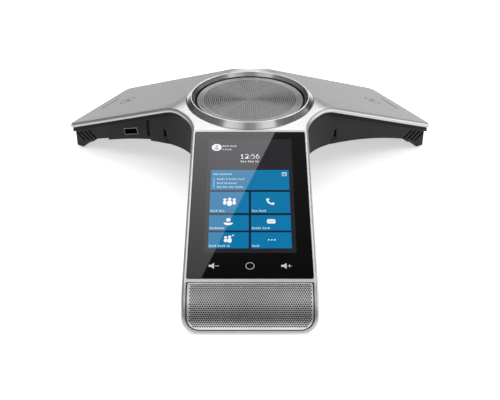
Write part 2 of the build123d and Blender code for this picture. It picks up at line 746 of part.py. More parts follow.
def make_display_bracket():
    depth = GLASS_T + 0.5
    frame = on_front(0, GLASS_TOP + GLASS_L / 2, depth) * slab(GLASS_W, GLASS_L, 1.7, 1)
    frame -= on_front(0, LCD_TOP + LCD_L / 2, depth - 1) * slab(LCD_W + 0.6, LCD_L + 0.6, 4, 1)
    frame -= on_front(0, KEYS_AT, depth - 1) * slab(66.6, 9.4, 4, 1)
    bar = on_front(0, 118, depth + 3.2) * slab(76, 14, 1.2, 1)
    for x in (-36.3, 36.3):
        bar += on_front(x, 118, depth + 1.6) * slab(3.2, 14, 1.8, 0.5)
    frame += bar
    sites = [site for site in screw_sites() if site[1] < -40]
    ceiling = FRONT * Pos(0, 0, -depth - 1.5 - BIG / 2) * Box(BIG * 2, BIG * 2, BIG)
    for post in cover_posts(sites):
        frame += post & ceiling
    return frame


def make_key_board():
    return on_front(0, KEYS_AT, GLASS_T + 0.1) * slab(66, 8.8, 1.0, 1)


def make_key_lamps():
    lamps = [on_front(x, KEYS_AT, GLASS_T + 1.1) * slab(2.4, 1.6, 0.8, 0.2) for x in (-28, 0, 28)]
    return group(*lamps)


def make_display_ribbon():
    """Flat cable from the panel's lower end, bent down and back to the main board."""
    with BuildSketch(Plane.YZ) as sketch:
        with BuildLine():
            line = FilletPolyline((-176, -4.4), (-183.6, -4.4), (-183.6, -10.6), (-176, -10.6), radius=1.6)
            offset(line, amount=0.12, side=Side.BOTH)
        make_face()
    strip = extrude(sketch.sketch, amount=9, both=True)
    return FRONT.location * Pos(12, 0, 0) * strip


def make_display_connector():
    return on_front(12, 173, BOARD_DEPTH - 1.9) * slab(21, 5, 1.9, 0.3)


# ---- Boards --------------------------------------------------------------------------------
def make_main_board():
    place = on_front(0, BOARD_AT, BOARD_DEPTH)
    board = place * slab(BOARD_W, BOARD_L, BOARD_T, 2)
    for x, y in BOARD_HOLES:
        board -= place * Pos(x, y, 0) * Cylinder(1.3, 8)
    return board


def make_board_chips():
    place = on_front(0, BOARD_AT, BOARD_DEPTH)
    under = on_front(0, BOARD_AT, BOARD_DEPTH + BOARD_T)
    chips = [place * Pos(x, y, 1.4) * slab(w, l, 1.4, 0.3) for x, y, w, l in CHIPS_ABOVE]
    chips += [under * Pos(x, y, 0) * slab(w, l, 2.2, 0.3) for x, y, w, l in CHIPS_BELOW]
    return group(*chips)


def make_shield_can():
    can = on_front(CAN_X, CAN_AT, BOARD_DEPTH - CAN_H) * slab(CAN_W, CAN_L, CAN_H, 1)
    inside = slab(CAN_W - 2 * CAN_T, CAN_L - 2 * CAN_T, CAN_H, 1 - CAN_T)
    return can - on_front(CAN_X, CAN_AT, BOARD_DEPTH - CAN_H + CAN_T) * inside


def make_processor():
    return on_front(CAN_X, CAN_AT, BOARD_DEPTH - CHIP_H) * slab(15, 15, CHIP_H, 0.4)


def make_board_screws():
    screws = []
    for x, y in BOARD_HOLES:
        spot = on_front(x, BOARD_AT - y, BOARD_DEPTH)
        screws.append(spot * Pos(0, 0, 0.6) * Cylinder(2.1, 1.2) + spot * Pos(0, 0, -2.4) * Cylinder(1.0, 5))
    return group(*screws)


def make_arm_boards():
    """Touch and light boards under the cover at the rear tips."""
    return group(*both(on_rear(148, 0, 4.0) * slab(30, 44, 1.0, 2)))


def make_mute_light_bars():
    bar = on_rear(LED_AT, 0, LED_DEPTH / 2) * Box(LED_T, LED_W, LED_DEPTH)
    return group(*both(bar))


def make_mic_boots():
    pocket = Cylinder(MIC_R + 0.1, 3.4)
    boot = on_rear(MIC_AT, 0, 5.0) * (Pos(0, 0, -3) * Cylinder(BOOT_R, 6) - Pos(0, 0, -4.6) * pocket)
    front = nose_frame(NOSE_MIC_TURN) * Pos(0, 0, -7.2)
    nose = front * (Cylinder(BOOT_R - 0.5, 6) - Pos(0, 0, 1.7) * pocket)
    return group(*both(boot), nose)


def make_mic_capsules():
    rear = on_rear(MIC_AT, 0, 9.6) * Cylinder(MIC_R, 2.6)
    nose = nose_frame(NOSE_MIC_TURN) * Pos(0, 0, -5.7) * Cylinder(MIC_R, 2.6)
    return group(*both(rear), nose)


def make_front_grille():
    return nose_sheet(0, GRILLE_T, 0)


def make_front_grille_cloth():
    return nose_sheet(GRILLE_T + 0.1, GRILLE_T + 0.1 + CLOTH_T, -1.5)


def make_front_grille_carrier():
    carrier = nose_sheet(GRILLE_T + CLOTH_T + 0.2, LIP - 0.1, 0)
    for angle in (34.0, 54.0, 73.0):
        for x in (-27.0, -13.5, 0.0, 13.5, 27.0):
            carrier -= nose_frame(angle) * Pos(x, 0, 0) * extrude(RectangleRounded(11, 6, 2.9), 6, both=True)
    return carrier


# ---- Network jack --------------------------------------------------------------------------
def make_network_jack():
    middle = JACK_Y - JACK_D / 2
    body = Pos(0, middle, JACK_Z + JACK_H / 2) * Box(JACK_W, JACK_D, JACK_H)
    mouth = Pos(0, JACK_Y - 7, JACK_Z + 6.4) * Box(JACK_MOUTH_W, 15, JACK_MOUTH_H)
    latch = Pos(0, JACK_Y - 5, JACK_Z + 2.0) * Box(6.2, 11, 2.4)
    body -= mouth
    return body - latch


def make_jack_contacts():
    """Eight sprung contacts in the roof of the jack."""
    contacts = []
    for index in range(CONTACTS):
        x = (index - (CONTACTS - 1) / 2) * CONTACT_PITCH
        wire = Pos(x, JACK_Y - 8.6, JACK_Z + 8.6) * Rot(18, 0, 0) * Box(0.4, 8.0, 0.4)
        contacts.append(wire)
    return group(*contacts)


def make_jack_board():
    return Pos(0, 42, JACK_Z - 0.8) * Box(30, 19, 1.6)


# ---- Internal wiring -----------------------------------------------------------------------
def bend_radii(points):
    """A bend radius for each corner, as large as its two runs allow."""
    radii = []
    for before, here, after in zip(points, points[1:], points[2:]):
        first = Vector(*here) - Vector(*before)
        second = Vector(*after) - Vector(*here)
        turn = radians(first.get_angle(second))
        radii.append(0.45 * min(first.length, second.length) / tan(turn / 2))
    return radii


def cable(points):
    path = FilletPolyline(*points, radius=bend_radii(points))
    start = Plane(origin=path @ 0, z_dir=path % 0)
    return sweep(start * Circle(CABLE_R), path=path)


def make_arm_cables():
    """Cables from the main board to the boards in the rear tips."""
    return group(*both(cable(ARM_CABLE)))


def make_jack_cable():
    """Cable from the network jack's board to the main board."""
    return cable(JACK_CABLE)


# ---- Feet, label ---------------------------------------------------------------------------
def make_feet():
    return group(*foot_pockets(0, 0, SOLE_Z + FOOT_SINK))


def make_rating_plate():
    return Pos(0, -8, ARCH_Z - PLATE_T) * extrude(RectangleRounded(PLATE_W, PLATE_L, 2), amount=PLATE_T)


PARTS = {
    "top_cover": make_top_cover,
    "base": make_base,
    "port_panel": make_port_panel,
    "usb_port": make_usb_port,
    "usb_tongue": make_usb_tongue,
    "usb_board": make_usb_board,
    "service_port": make_service_port,
    "speaker_ring": make_speaker_ring,
    "speaker_grille": make_speaker_grille,
    "speaker_cloth": make_speaker_cloth,
    "speaker_gasket": make_speaker_gasket,
    "speaker_baffle": make_speaker_baffle,
    "speaker_screws": make_speaker_screws,
    "speaker_basket": make_speaker_basket,
    "speaker_top_plate": make_speaker_top_plate,
    "speaker_magnet": make_speaker_magnet,
    "speaker_back_plate": make_speaker_back_plate,
    "voice_coil": make_voice_coil,
    "speaker_cone": make_speaker_cone,
    "dust_cap": make_dust_cap,
    "speaker_surround": make_speaker_surround,
    "speaker_spider": make_speaker_spider,
    "touch_glass": make_touch_glass,
    "glass_gasket": make_glass_gasket,
    "lcd_panel": make_lcd_panel,
    "lcd_backlight": make_lcd_backlight,
    "display_bracket": make_display_bracket,
    "display_ribbon": make_display_ribbon,
    "display_connector": make_display_connector,
    "key_board": make_key_board,
    "key_lamps": make_key_lamps,
    "main_board": make_main_board,
    "board_chips": make_board_chips,
    "shield_can": make_shield_can,
    "processor": make_processor,
    "board_screws": make_board_screws,
    "arm_boards": make_arm_boards,
    "mute_light_bars": make_mute_light_bars,
    "mic_boots": make_mic_boots,
    "mic_capsules": make_mic_capsules,
    "front_grille": make_front_grille,
    "front_grille_cloth": make_front_grille_cloth,
    "front_grille_carrier": make_front_grille_carrier,
    "network_jack": make_network_jack,
    "jack_contacts": make_jack_contacts,
    "jack_board": make_jack_board,
    "arm_cables": make_arm_cables,
    "jack_cable": make_jack_cable,
    "rating_plate": make_rating_plate,
    "base_screws": make_base_screws,
    "feet": make_feet,
}


def write_parts():
    os.makedirs("parts", exist_ok=True)
    for name, make in PARTS.items():
        export_step(Pos(0, HUB_Y, 0) * make(), f"parts/{name}.step")


write_parts()
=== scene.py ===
import json
import math

import bmesh
import bpy
from mathutils import Matrix, Vector
from mathutils.geometry import delaunay_2d_cdt


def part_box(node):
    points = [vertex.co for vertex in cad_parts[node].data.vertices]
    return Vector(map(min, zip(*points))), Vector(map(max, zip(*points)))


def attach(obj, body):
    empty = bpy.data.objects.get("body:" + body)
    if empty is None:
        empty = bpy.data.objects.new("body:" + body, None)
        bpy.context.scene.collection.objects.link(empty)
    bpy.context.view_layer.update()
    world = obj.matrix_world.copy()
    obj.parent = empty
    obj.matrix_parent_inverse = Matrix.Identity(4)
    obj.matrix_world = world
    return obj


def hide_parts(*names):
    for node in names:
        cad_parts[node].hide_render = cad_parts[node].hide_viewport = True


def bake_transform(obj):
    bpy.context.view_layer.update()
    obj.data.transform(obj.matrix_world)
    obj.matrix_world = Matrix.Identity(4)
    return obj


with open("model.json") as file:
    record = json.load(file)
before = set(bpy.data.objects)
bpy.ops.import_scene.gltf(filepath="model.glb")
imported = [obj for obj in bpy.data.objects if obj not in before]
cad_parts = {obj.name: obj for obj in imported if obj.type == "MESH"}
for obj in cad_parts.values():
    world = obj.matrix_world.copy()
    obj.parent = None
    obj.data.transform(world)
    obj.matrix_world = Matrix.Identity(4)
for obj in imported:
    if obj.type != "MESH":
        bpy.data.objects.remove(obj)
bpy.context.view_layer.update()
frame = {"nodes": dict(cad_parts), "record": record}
NODES = frame["nodes"]
MM = 0.001

# ---- Driving sizes, in millimetres unless a name says otherwise ---------------------------------
NOSE_FROM_GLASS_TOP = 143.4      # down the display slope, to where the nose starts to roll
NOSE_R1, NOSE_TURN1 = 29.0, 50.0
NOSE_R2 = 27.0
FRONT_GRILLE_MARGIN = 0.35       # from the start of the roll to the grille's upper edge
FRONT_GRILLE_LENGTH = 31.7       # along the roll
FRONT_WINDOW_HALF = 41.4         # opening in the cover round it
FRONT_WINDOW_TOP = 0.4           # how far the opening runs past the grille's upper and lower edges
FRONT_WINDOW_LOW = 0.9
FRONT_GRILLE_HALF = 40.55
FRONT_GRILLE_CORNER = 8.3
FRONT_GRILLE_TOP_CORNER = 1.0
FRONT_PITCH = 1.48
FRONT_ROWS = 22
FRONT_FIRST_ROW = 1.4            # from the grille's upper edge
FRONT_LAST_ROW = 2.3             # from its lower edge
FRONT_SIDE_RIM = 1.1
FRONT_HOLE_R = 0.6
SHEET_T = 0.55
HOLE_SIDES = 10
HOLE_TURN = 0.37                 # radians from one hole's first corner to the next hole's
LONGEST_RUN = 1.5                # longest straight side of an outline that bends round the nose
# Near-black strip under the gap round the front grille, as painted shade in the gap:
GAP_SHADE_W = 1.1
GAP_SHADE_DEPTH = 0.6               # its upper and lower faces, below the outer surface
GAP_SHADE_LOW = 1.0

SPEAKER_FIELD_R = 37.9           # perforated part of the round grille
SPEAKER_PITCH = 1.6
SPEAKER_HOLE_R = 0.58
SPEAKER_FIELD_RIM = 0.3          # plain edge outside the last ring of holes
SPEAKER_RING_TURN = 0.3          # radians from one ring's first hole to the next ring's
SPEAKER_SEGMENTS = 160
GROOVE_START, GROOVE_END = 0.35, 1.3     # from the field, and from the rim's outer edge
GROOVE_PITCH = 0.62
GROOVE_W = 0.32
GROOVE_DEPTH = 0.1
SHOULDER_R = 0.6
SKIRT_T = 0.8
SKIRT_GAP = 0.4                  # how far the rim stands inside the plain grille's
RING_CREST_R = 47.4
CREST_BEAD_R = 0.32
CREST_SUNK = 0.55                # share of its radius that the bead lies below the crest

SPIDER_INNER_R = 10.4
SPIDER_OUTER_R = 23.6
SPIDER_T = 0.4
SPIDER_INNER_TOP = 48.6
SPIDER_WAVE_TOP, SPIDER_WAVE_LOW = 49.1, 48.5
SPIDER_WAVE_R = 11.5             # the first crest
SPIDER_WAVE_STEP = 1.2           # from a crest to the next trough
SPIDER_WAVES = 4
SPIDER_SECTORS = 8
SPIDER_STEPS = 6

HUB_PLANE = (66.9, 1.46)         # outer planes: height over the hub's axis, and slope in degrees
FRONT_PLANE = (79.42, 15.08)
REAR_PLANE = (84.6, 21.36)
REAR_AZIMUTH = 30.0
BAND_DEPTH = 7.6                 # the base's upper band, painted darker as the shade under the cover, reaches this far below the outer planes

MARK_AT = 135.0                  # mute marks on the rear arms, slope distance from the hub
MARK_R = 6.8

PLATE_T = 0.02                   # each layer of the screen's shapes

BODY = "phone"


# ---- Places worked out from the frame -----------------------------------------------------------
def upper_face(node):
    """Normal and corner points of a plate's flat upper face."""
    mesh = NODES[node].data
    groups = {}
    for face in mesh.polygons:
        if face.normal.z > 0.2:
            key = tuple(round(value, 2) for value in face.normal)
            groups.setdefault(key, []).append(face)
    faces = max(groups.values(), key=lambda faces: sum(face.area for face in faces))
    normal = sum((face.normal * face.area for face in faces), Vector()).normalized()
    points = [mesh.vertices[i].co for face in faces for i in face.vertices]
    return normal, points


def plate_matrix(normal, points, across):
    """Matrix at a face's middle, x along across and z out of it, and the face's half length."""
    across = (across - normal * across.dot(normal)).normalized()
    up = normal.cross(across)
    xs = [point.dot(across) for point in points]
    ys = [point.dot(up) for point in points]
    depth = sum(point.dot(normal) for point in points) / len(points)
    centre = across * (min(xs) + max(xs)) / 2 + up * (min(ys) + max(ys)) / 2 + normal * depth
    matrix = Matrix((across, up, normal)).transposed().to_4x4()
    matrix.translation = centre
    return matrix, (max(ys) - min(ys)) / 2


GLASS, GLASS_HALF_L = plate_matrix(*upper_face("touch_glass"), Vector((1, 0, 0)))
RING_LOW, RING_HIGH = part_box("speaker_ring")
HUB_AXIS = Vector(((RING_LOW.x + RING_HIGH.x) / 2, (RING_LOW.y + RING_HIGH.y) / 2, 0))
GRILLE_LOW, GRILLE_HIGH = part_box("speaker_grille")


def on_glass(x, down, lift=0.0):
    """A place on the display, in millimetres from its middle and down from its upper edge."""
    return GLASS @ Vector((x * MM, GLASS_HALF_L - down * MM, lift * MM))


def on_arm(side):
    """Places on a rear arm's top, in millimetres across it and down its slope from the hub."""
    turn = math.radians(REAR_AZIMUTH)
    out = Vector((side * math.cos(turn), math.sin(turn), 0))
    across = Vector((-side * math.sin(turn), math.cos(turn), 0))
    fall = math.radians(REAR_PLANE[1])
    along = out * math.cos(fall) - Vector((0, 0, math.sin(fall)))
    normal = out * math.sin(fall) + Vector((0, 0, math.cos(fall)))
    apex = HUB_AXIS + Vector((0, 0, REAR_PLANE[0] * MM))
    return lambda x, down, lift=0.0: apex + (across * x + along * down + normal * lift) * MM


# ---- Materials ----------------------------------------------------------------------------------
RAMP_ENDS = (0.3, 0.7)           # shares of a noise between which a colour changes
GLASS_BLACK = (0.002, 0.002, 0.0022)
LIT_VARY = 0.05


class Graph:
    """Short calls for the nodes of a material, a light or the world."""

    def __init__(self, tree):
        self.tree = tree

    def node(self, kind, **inputs):
        node = self.tree.nodes.new(kind)
        for socket, value in inputs.items():
            self.give(node.inputs[socket.replace("_", " ")], value)
        return node

    def give(self, socket, value):
        """Links another node's output to a socket, or sets the socket's value."""
        if isinstance(value, bpy.types.NodeSocket):
            self.tree.links.new(value, socket)
        else:
            socket.default_value = value

    def math(self, operation, *values):
        node = self.tree.nodes.new("ShaderNodeMath")
        node.operation = operation
        for socket, value in zip(node.inputs, values):
            self.give(socket, value)
        return node.outputs[0]

    def axes(self, vector):
        split = self.node("ShaderNodeSeparateXYZ", Vector=vector)
        return (split.outputs[axis] for axis in "XYZ")

    def mix(self, factor, first, second):
        """A colour that goes from first to second with the factor."""
        node = self.tree.nodes.new("ShaderNodeMix")
        node.data_type = "RGBA"
        for name, value in (("Factor", factor), ("A", first), ("B", second)):
            self.give(node.inputs[name], value)
        return node.outputs["Result"]


class Shader(Graph):
    """A Principled material."""

    def __init__(self, name, **values):
        self.material = bpy.data.materials.new(name)
        self.material.use_nodes = True
        super().__init__(self.material.node_tree)
        self.main = self.tree.nodes["Principled BSDF"]
        self.feed(**values)

    def feed(self, **inputs):
        for socket, value in inputs.items():
            self.give(self.main.inputs[socket.replace("_", " ")], value)

    def place(self, scale=(1, 1, 1), location=(0, 0, 0)):
        """Object coordinates, scaled and moved."""
        coordinates = self.tree.nodes.new("ShaderNodeTexCoord").outputs["Object"]
        mapping = self.node("ShaderNodeMapping", Vector=coordinates, Scale=scale, Location=location)
        return mapping.outputs["Vector"]

    def noise(self, scale, detail=3.0, rough=0.5, vector=None):
        vector = vector or self.place()
        shape = {"Scale": scale, "Detail": detail, "Roughness": rough}
        return self.node("ShaderNodeTexNoise", Vector=vector, **shape).outputs["Fac"]

    def between(self, factor, low, high):
        """A value or colour that runs from low to high with the factor."""
        if isinstance(low, (int, float)):
            node = self.node("ShaderNodeMapRange", Value=factor, To_Min=low, To_Max=high)
            return node.outputs["Result"]
        ramp = self.node("ShaderNodeValToRGB", Fac=factor)
        for element, position, color in zip(ramp.color_ramp.elements, RAMP_ENDS, (low, high)):
            element.color = (*color, 1)
            element.position = position
        return ramp.outputs["Color"]

    def bump(self, height, strength, distance):
        node = self.node("ShaderNodeBump", Height=height, Strength=strength, Distance=distance)
        self.feed(Normal=node.outputs["Normal"])


def near(color, share):
    return tuple(min(1.0, value * share) for value in color)


def moulded(name, color, rough=0.5, grain=900, depth=0.00004, vary=0.12, **values):
    """Moulded plastic or rubber: a fine grain in the surface and a slight mottle in its colour."""
    shader = Shader(name, **values)
    mottle = shader.noise(60, detail=4)
    fine = shader.noise(grain, detail=2)
    shader.bump(fine, 0.5, depth)
    shader.feed(
        Base_Color=shader.between(mottle, near(color, 1 - vary), near(color, 1 + vary)),
        Roughness=shader.between(fine, rough - 0.06, rough + 0.06),
    )
    return shader.material


def printed(name, color, vary):
    """A dull mark that stands out from the paint round it."""
    return moulded(name, color, vary=vary, Specular_IOR_Level=0.15)


def metal(name, color, rough=0.3, stretch=(1, 1, 1), scale=400, depth=0.00001, vary=0.1, **values):
    """Sheet or drawn metal: a grain stretched one way."""
    shader = Shader(name, Metallic=1.0, **values)
    grain = shader.noise(scale, detail=4, vector=shader.place(scale=stretch))
    cloud = shader.noise(35, detail=3)
    shader.bump(grain, 0.35, depth)
    shader.feed(
        Base_Color=shader.between(cloud, near(color, 1 - vary), near(color, 1 + vary)),
        Roughness=shader.between(grain, rough - 0.08, rough + 0.1),
    )
    return shader.material


def silver_paint():
    """Satin silver paint: fine bright flakes over a very slight orange peel."""
    shader = Shader("silver_paint", Metallic=0.9)
    flakes = shader.noise(5200, detail=1)
    peel = shader.noise(420, detail=2)
    cloud = shader.noise(9, detail=4)
    weighed = (shader.math("MULTIPLY", flakes, 0.55), shader.math("MULTIPLY", cloud, 0.45))
    tone = shader.math("ADD", *weighed)
    shader.bump(shader.math("ADD", flakes, peel), 0.25, 0.00002)
    shader.feed(
        Base_Color=shader.between(tone, (0.39, 0.39, 0.394), (0.47, 0.47, 0.475)),
        Roughness=shader.between(flakes, 0.33, 0.43),
    )
    return shader.material


def cover_depth(shader):
    """Distance below the phone's outer planes, in metres."""
    x, y, z = shader.axes(shader.place(location=(0, -HUB_AXIS.y, 0)))
    heights = []
    for (height, slope), along in ((HUB_PLANE, y), (FRONT_PLANE, y)):
        rise = shader.math("MULTIPLY", along, math.tan(math.radians(slope)))
        heights.append(shader.math("ADD", rise, height * MM))
    turn = math.radians(REAR_AZIMUTH)
    aside = shader.math("MULTIPLY", shader.math("ABSOLUTE", x), math.cos(turn))
    out = shader.math("ADD", aside, shader.math("MULTIPLY", y, math.sin(turn)))
    fall = shader.math("MULTIPLY", out, -math.tan(math.radians(REAR_PLANE[1])))
    heights.append(shader.math("ADD", fall, REAR_PLANE[0] * MM))
    lowest = shader.math("MINIMUM", shader.math("MINIMUM", heights[0], heights[1]), heights[2])
    return shader.math("SUBTRACT", lowest, z)


def base_plastic(color, band_shade_color, rough=0.5, band_rough=0.3):
    """Black textured plastic with a smoother band under the cover, painted darker as the shade
    under the cover's edge.
    """
    shader = Shader("base_plastic", Specular_IOR_Level=0.1)
    fine = shader.noise(1500, detail=2)
    mottle = shader.noise(60, detail=4)
    band = shader.math("LESS_THAN", cover_depth(shader), BAND_DEPTH * MM)
    wall = shader.between(mottle, near(color, 0.88), near(color, 1.12))
    shader.bump(fine, 0.5, 0.00003)
    wall_rough = shader.between(fine, rough - 0.06, rough + 0.06)
    smoother = shader.math("MULTIPLY", band, rough - band_rough)
    shader.feed(
        # The band's darker colour is painted shade under the cover's edge; its lower roughness is
        # the band's own finish.
        Base_Color=shader.mix(band, wall, (*band_shade_color, 1)),
        Roughness=shader.math("SUBTRACT", wall_rough, smoother),
    )
    return shader.material


def turned_metal(name, color, low, high, **values):
    """Metal turned on a lathe: fine grooves round the hub's axis."""
    shader = Shader(name, Metallic=1.0, Anisotropic=0.75, Anisotropic_Rotation=0.25, **values)
    tangent = shader.tree.nodes.new("ShaderNodeTangent")
    tangent.direction_type = "RADIAL"
    tangent.axis = "Z"
    shader.feed(Tangent=tangent.outputs["Tangent"])
    x, y, z = shader.axes(shader.place(location=(0, -HUB_AXIS.y, 0)))
    squared = shader.math("ADD", shader.math("MULTIPLY", x, x), shader.math("MULTIPLY", y, y))
    radius = shader.math("SQRT", squared)
    joined = shader.node("ShaderNodeCombineXYZ", X=radius, Y=z)
    grooves = shader.noise(2600, detail=4, rough=0.7, vector=joined.outputs["Vector"])
    around = shader.node("ShaderNodeCombineXYZ", X=shader.math("ARCTAN2", y, x), Y=radius)
    streak = shader.noise(6, detail=3, vector=around.outputs["Vector"])
    shader.bump(grooves, 0.05, 0.00001)
    shader.feed(
        Base_Color=shader.between(streak, near(color, 0.9), near(color, 1.1)),
        Roughness=shader.between(grooves, low, high),
    )
    return shader.material


def woven(name, color, scale=2500):
    """Fine woven cloth."""
    shader = Shader(name, Roughness=0.9)
    weave = []
    for direction in ("X", "Y"):
        wave = shader.node("ShaderNodeTexWave", Vector=shader.place(), Scale=scale)
        wave.bands_direction = direction
        weave.append(wave.outputs["Fac"])
    cloth = shader.math("MAXIMUM", *weave)
    shader.bump(cloth, 0.6, 0.0001)
    shader.feed(Base_Color=shader.between(cloth, near(color, 0.5), near(color, 1.3)))
    return shader.material


def glass_material():
    """Polished cover glass over a black print, with a trace of dust and smears in its gloss."""
    shader = Shader("display_glass", IOR=1.5)
    smear = shader.noise(28, detail=5, rough=0.65)
    specks = shader.noise(700, detail=1)
    shader.feed(
        Base_Color=shader.between(specks, GLASS_BLACK, (0.003, 0.003, 0.0033)),
        Roughness=shader.between(smear, 0.0, 0.03),
    )
    return shader.material


def lit_material(name, color, strength=1.0):
    """A lit part of the screen: it glows, and the glass over it has its own gloss."""
    shader = Shader(name, IOR=1.5, Base_Color=(*GLASS_BLACK, 1), Emission_Strength=strength)
    cloud = shader.noise(45, detail=2)
    smear = shader.noise(28, detail=5, rough=0.65)
    shader.feed(
        Emission_Color=shader.between(cloud, near(color, 1 - LIT_VARY), near(color, 1 + LIT_VARY)),
        Roughness=shader.between(smear, 0.0, 0.03),
    )
    return shader.material


# ---- Mesh helpers -------------------------------------------------------------------------------
def add_object(name, mesh, material):
    mesh.materials.append(material)
    obj = bpy.data.objects.new(name, mesh)
    bpy.context.scene.collection.objects.link(obj)
    return obj


def piece(name, mesh, material, body=BODY, smooth=None):
    """Adds a mesh as a piece that rides on a body."""
    obj = add_object(name, mesh, material)
    if smooth is not None:
        mesh.shade_smooth()
        edges = bmesh.new()
        edges.from_mesh(mesh)
        limit = math.radians(smooth)
        for edge in edges.edges:
            edge.smooth = len(edge.link_faces) == 2 and edge.calc_face_angle(0) < limit
        edges.to_mesh(mesh)
        edges.free()
    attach(obj, body)
    return obj


def mesh_from(name, points, faces):
    mesh = bpy.data.meshes.new(name)
    mesh.from_pydata([tuple(point) for point in points], [], faces)
    mesh.validate()
    mesh.update()
    return mesh


def weld(mesh, distance=1e-6):
    """Joins vertices that share a place and makes every face look outwards."""
    work = bmesh.new()
    work.from_mesh(mesh)
    bmesh.ops.remove_doubles(work, verts=work.verts, dist=distance)
    bmesh.ops.recalc_face_normals(work, faces=work.faces)
    work.to_mesh(mesh)
    work.free()


def circle_points(x, y, radius, count, start=0.0):
    turns = (start + 2 * math.pi * i / count for i in range(count))
    return [(x + radius * math.cos(turn), y + radius * math.sin(turn)) for turn in turns]


def ellipse_arc(x, y, rx, ry, start, end, count=20):
    """Part of an ellipse, in degrees."""
    turns = [math.radians(start + (end - start) * i / count) for i in range(count + 1)]
    return [(x + rx * math.cos(turn), y + ry * math.sin(turn)) for turn in turns]


def perforated(edge, holes):
    """Flat points and triangles of a convex sheet with round holes, and the loops that bound it."""
    points = list(edge)
    loops = [list(range(len(edge)))]
    for index, (x, y, radius) in enumerate(holes):
        start = len(points)
        points += circle_points(x, y, radius, HOLE_SIDES, start=HOLE_TURN * index)
        loops.append(list(range(start, start + HOLE_SIDES)))
    owner = [loop for loop, members in enumerate(loops) for _ in members]
    lines = [(a, b) for loop in loops for a, b in zip(loop, loop[1:] + loop[:1])]
    vectors = [Vector(point) for point in points]
    result = delaunay_2d_cdt(vectors, lines, [], 0, 1e-7)
    out_points, triangles, sources = result[0], result[2], result[3]
    from_input = [source[0] for source in sources]
    kept = []
    for triangle in triangles:
        owners = {owner[from_input[corner]] for corner in triangle}
        if len(owners) > 1 or owners == {0}:
            kept.append(tuple(triangle))
    new_index = {old: new for new, old in enumerate(from_input)}
    loops = [[new_index[i] for i in loop] for loop in loops]
    return [tuple(point) for point in out_points], kept, loops


def thick_sheet(points, triangles, loops, place, thickness):
    """A solid sheet whose walls come last; place turns (x, y, depth) into a point."""
    count = len(points)
    solid = [place(x, y, 0.0) for x, y in points] + [place(x, y, thickness) for x, y in points]
    faces = [tuple(t) for t in triangles]
    faces += [tuple(corner + count for corner in reversed(t)) for t in triangles]
    for loop in loops:
        faces += [(b, a, a + count, b + count) for a, b in zip(loop, loop[1:] + loop[:1])]
    return solid, faces


def second_material(mesh, first, last):
    """Gives a run of faces the mesh's second material; for the grilles that is the near-black
    painted shade inside the holes.
    """
    for polygon in mesh.polygons[first:last]:
        polygon.material_index = 1


def around_hub(turn, radius, height=0.0):
    """A place at that turn, radius and height about the hub's axis, in radians and millimetres."""
    return HUB_AXIS + Vector((radius * math.cos(turn), radius * math.sin(turn), height)) * MM


def skin(rings, closed=True):
    """Points and faces of a skin over equal rings, each joined to the next."""
    size = len(rings[0])
    points = [point for ring in rings for point in ring]
    faces = []
    for index in range(len(rings) if closed else len(rings) - 1):
        here = index * size
        there = (index + 1) % len(rings) * size
        for i in range(size):
            j = (i + 1) % size
            faces.append((here + i, there + i, there + j, here + j))
    return points, faces


def lathe(profile, segments):
    """Points and faces of a closed profile of (radius, height) turned about the hub's axis."""
    turns = (2 * math.pi * step / segments for step in range(segments))
    return skin([[around_hub(turn, *place) for place in profile] for turn in turns])


# ---- Round speaker grille -----------------------------------------------------------------------
def speaker_holes():
    """Concentric rings of holes, evenly spaced round each ring."""
    holes = [(0.0, 0.0, SPEAKER_HOLE_R)]
    ring = 1
    while ring * SPEAKER_PITCH < SPEAKER_FIELD_R - SPEAKER_HOLE_R - SPEAKER_FIELD_RIM:
        radius = ring * SPEAKER_PITCH
        count = round(2 * math.pi * radius / SPEAKER_PITCH)
        places = circle_points(0, 0, radius, count, start=SPEAKER_RING_TURN * ring)
        holes += [(x, y, SPEAKER_HOLE_R) for x, y in places]
        ring += 1
    return holes


def speaker_rim_profile(top, low, outer):
    """Rim of the grille: fine turned grooves, a rounded shoulder and the skirt."""
    profile = [(SPEAKER_FIELD_R, top - SHEET_T), (SPEAKER_FIELD_R, top)]
    groove = SPEAKER_FIELD_R + GROOVE_START
    while groove < outer - GROOVE_END:
        bottom = (groove + GROOVE_W / 2, top - GROOVE_DEPTH)
        profile += [(groove, top), bottom, (groove + GROOVE_W, top)]
        groove += GROOVE_PITCH
    shoulder = ellipse_arc(outer - SHOULDER_R, top - SHOULDER_R, SHOULDER_R, SHOULDER_R, 90, 0, 4)
    inner = outer - SKIRT_T
    return profile + shoulder + [(outer, low), (inner, low), (inner, top - SHEET_T)]


def make_speaker_grille(material, inside):
    top = GRILLE_HIGH.z / MM
    low = GRILLE_LOW.z / MM
    outer = (GRILLE_HIGH.x - GRILLE_LOW.x) / 2 / MM - SKIRT_GAP
    edge = circle_points(0, 0, SPEAKER_FIELD_R, SPEAKER_SEGMENTS)
    points, triangles, loops = perforated(edge, speaker_holes())

    def place(x, y, depth):
        return (HUB_AXIS.x + x * MM, HUB_AXIS.y + y * MM, (top - depth) * MM)

    points, faces = thick_sheet(points, triangles, loops[1:], place, SHEET_T)
    walls = (2 * len(triangles), len(faces))
    rim_points, rim_faces = lathe(speaker_rim_profile(top, low, outer), SPEAKER_SEGMENTS)
    size = len(rim_points) // SPEAKER_SEGMENTS
    rim_faces = [face for face in rim_faces if {face[0] % size, face[3] % size} != {0, 1}]
    offset = len(points)
    points += rim_points
    faces += [tuple(corner + offset for corner in face) for face in rim_faces]
    mesh = mesh_from("speaker_grille_sheet", points, faces)
    # The holes' walls take the second material: near-black painted shade inside the holes.
    second_material(mesh, *walls)
    weld(mesh)
    obj = piece("speaker_grille_sheet", mesh, material, smooth=30)
    mesh.materials.append(inside)
    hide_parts("speaker_grille")


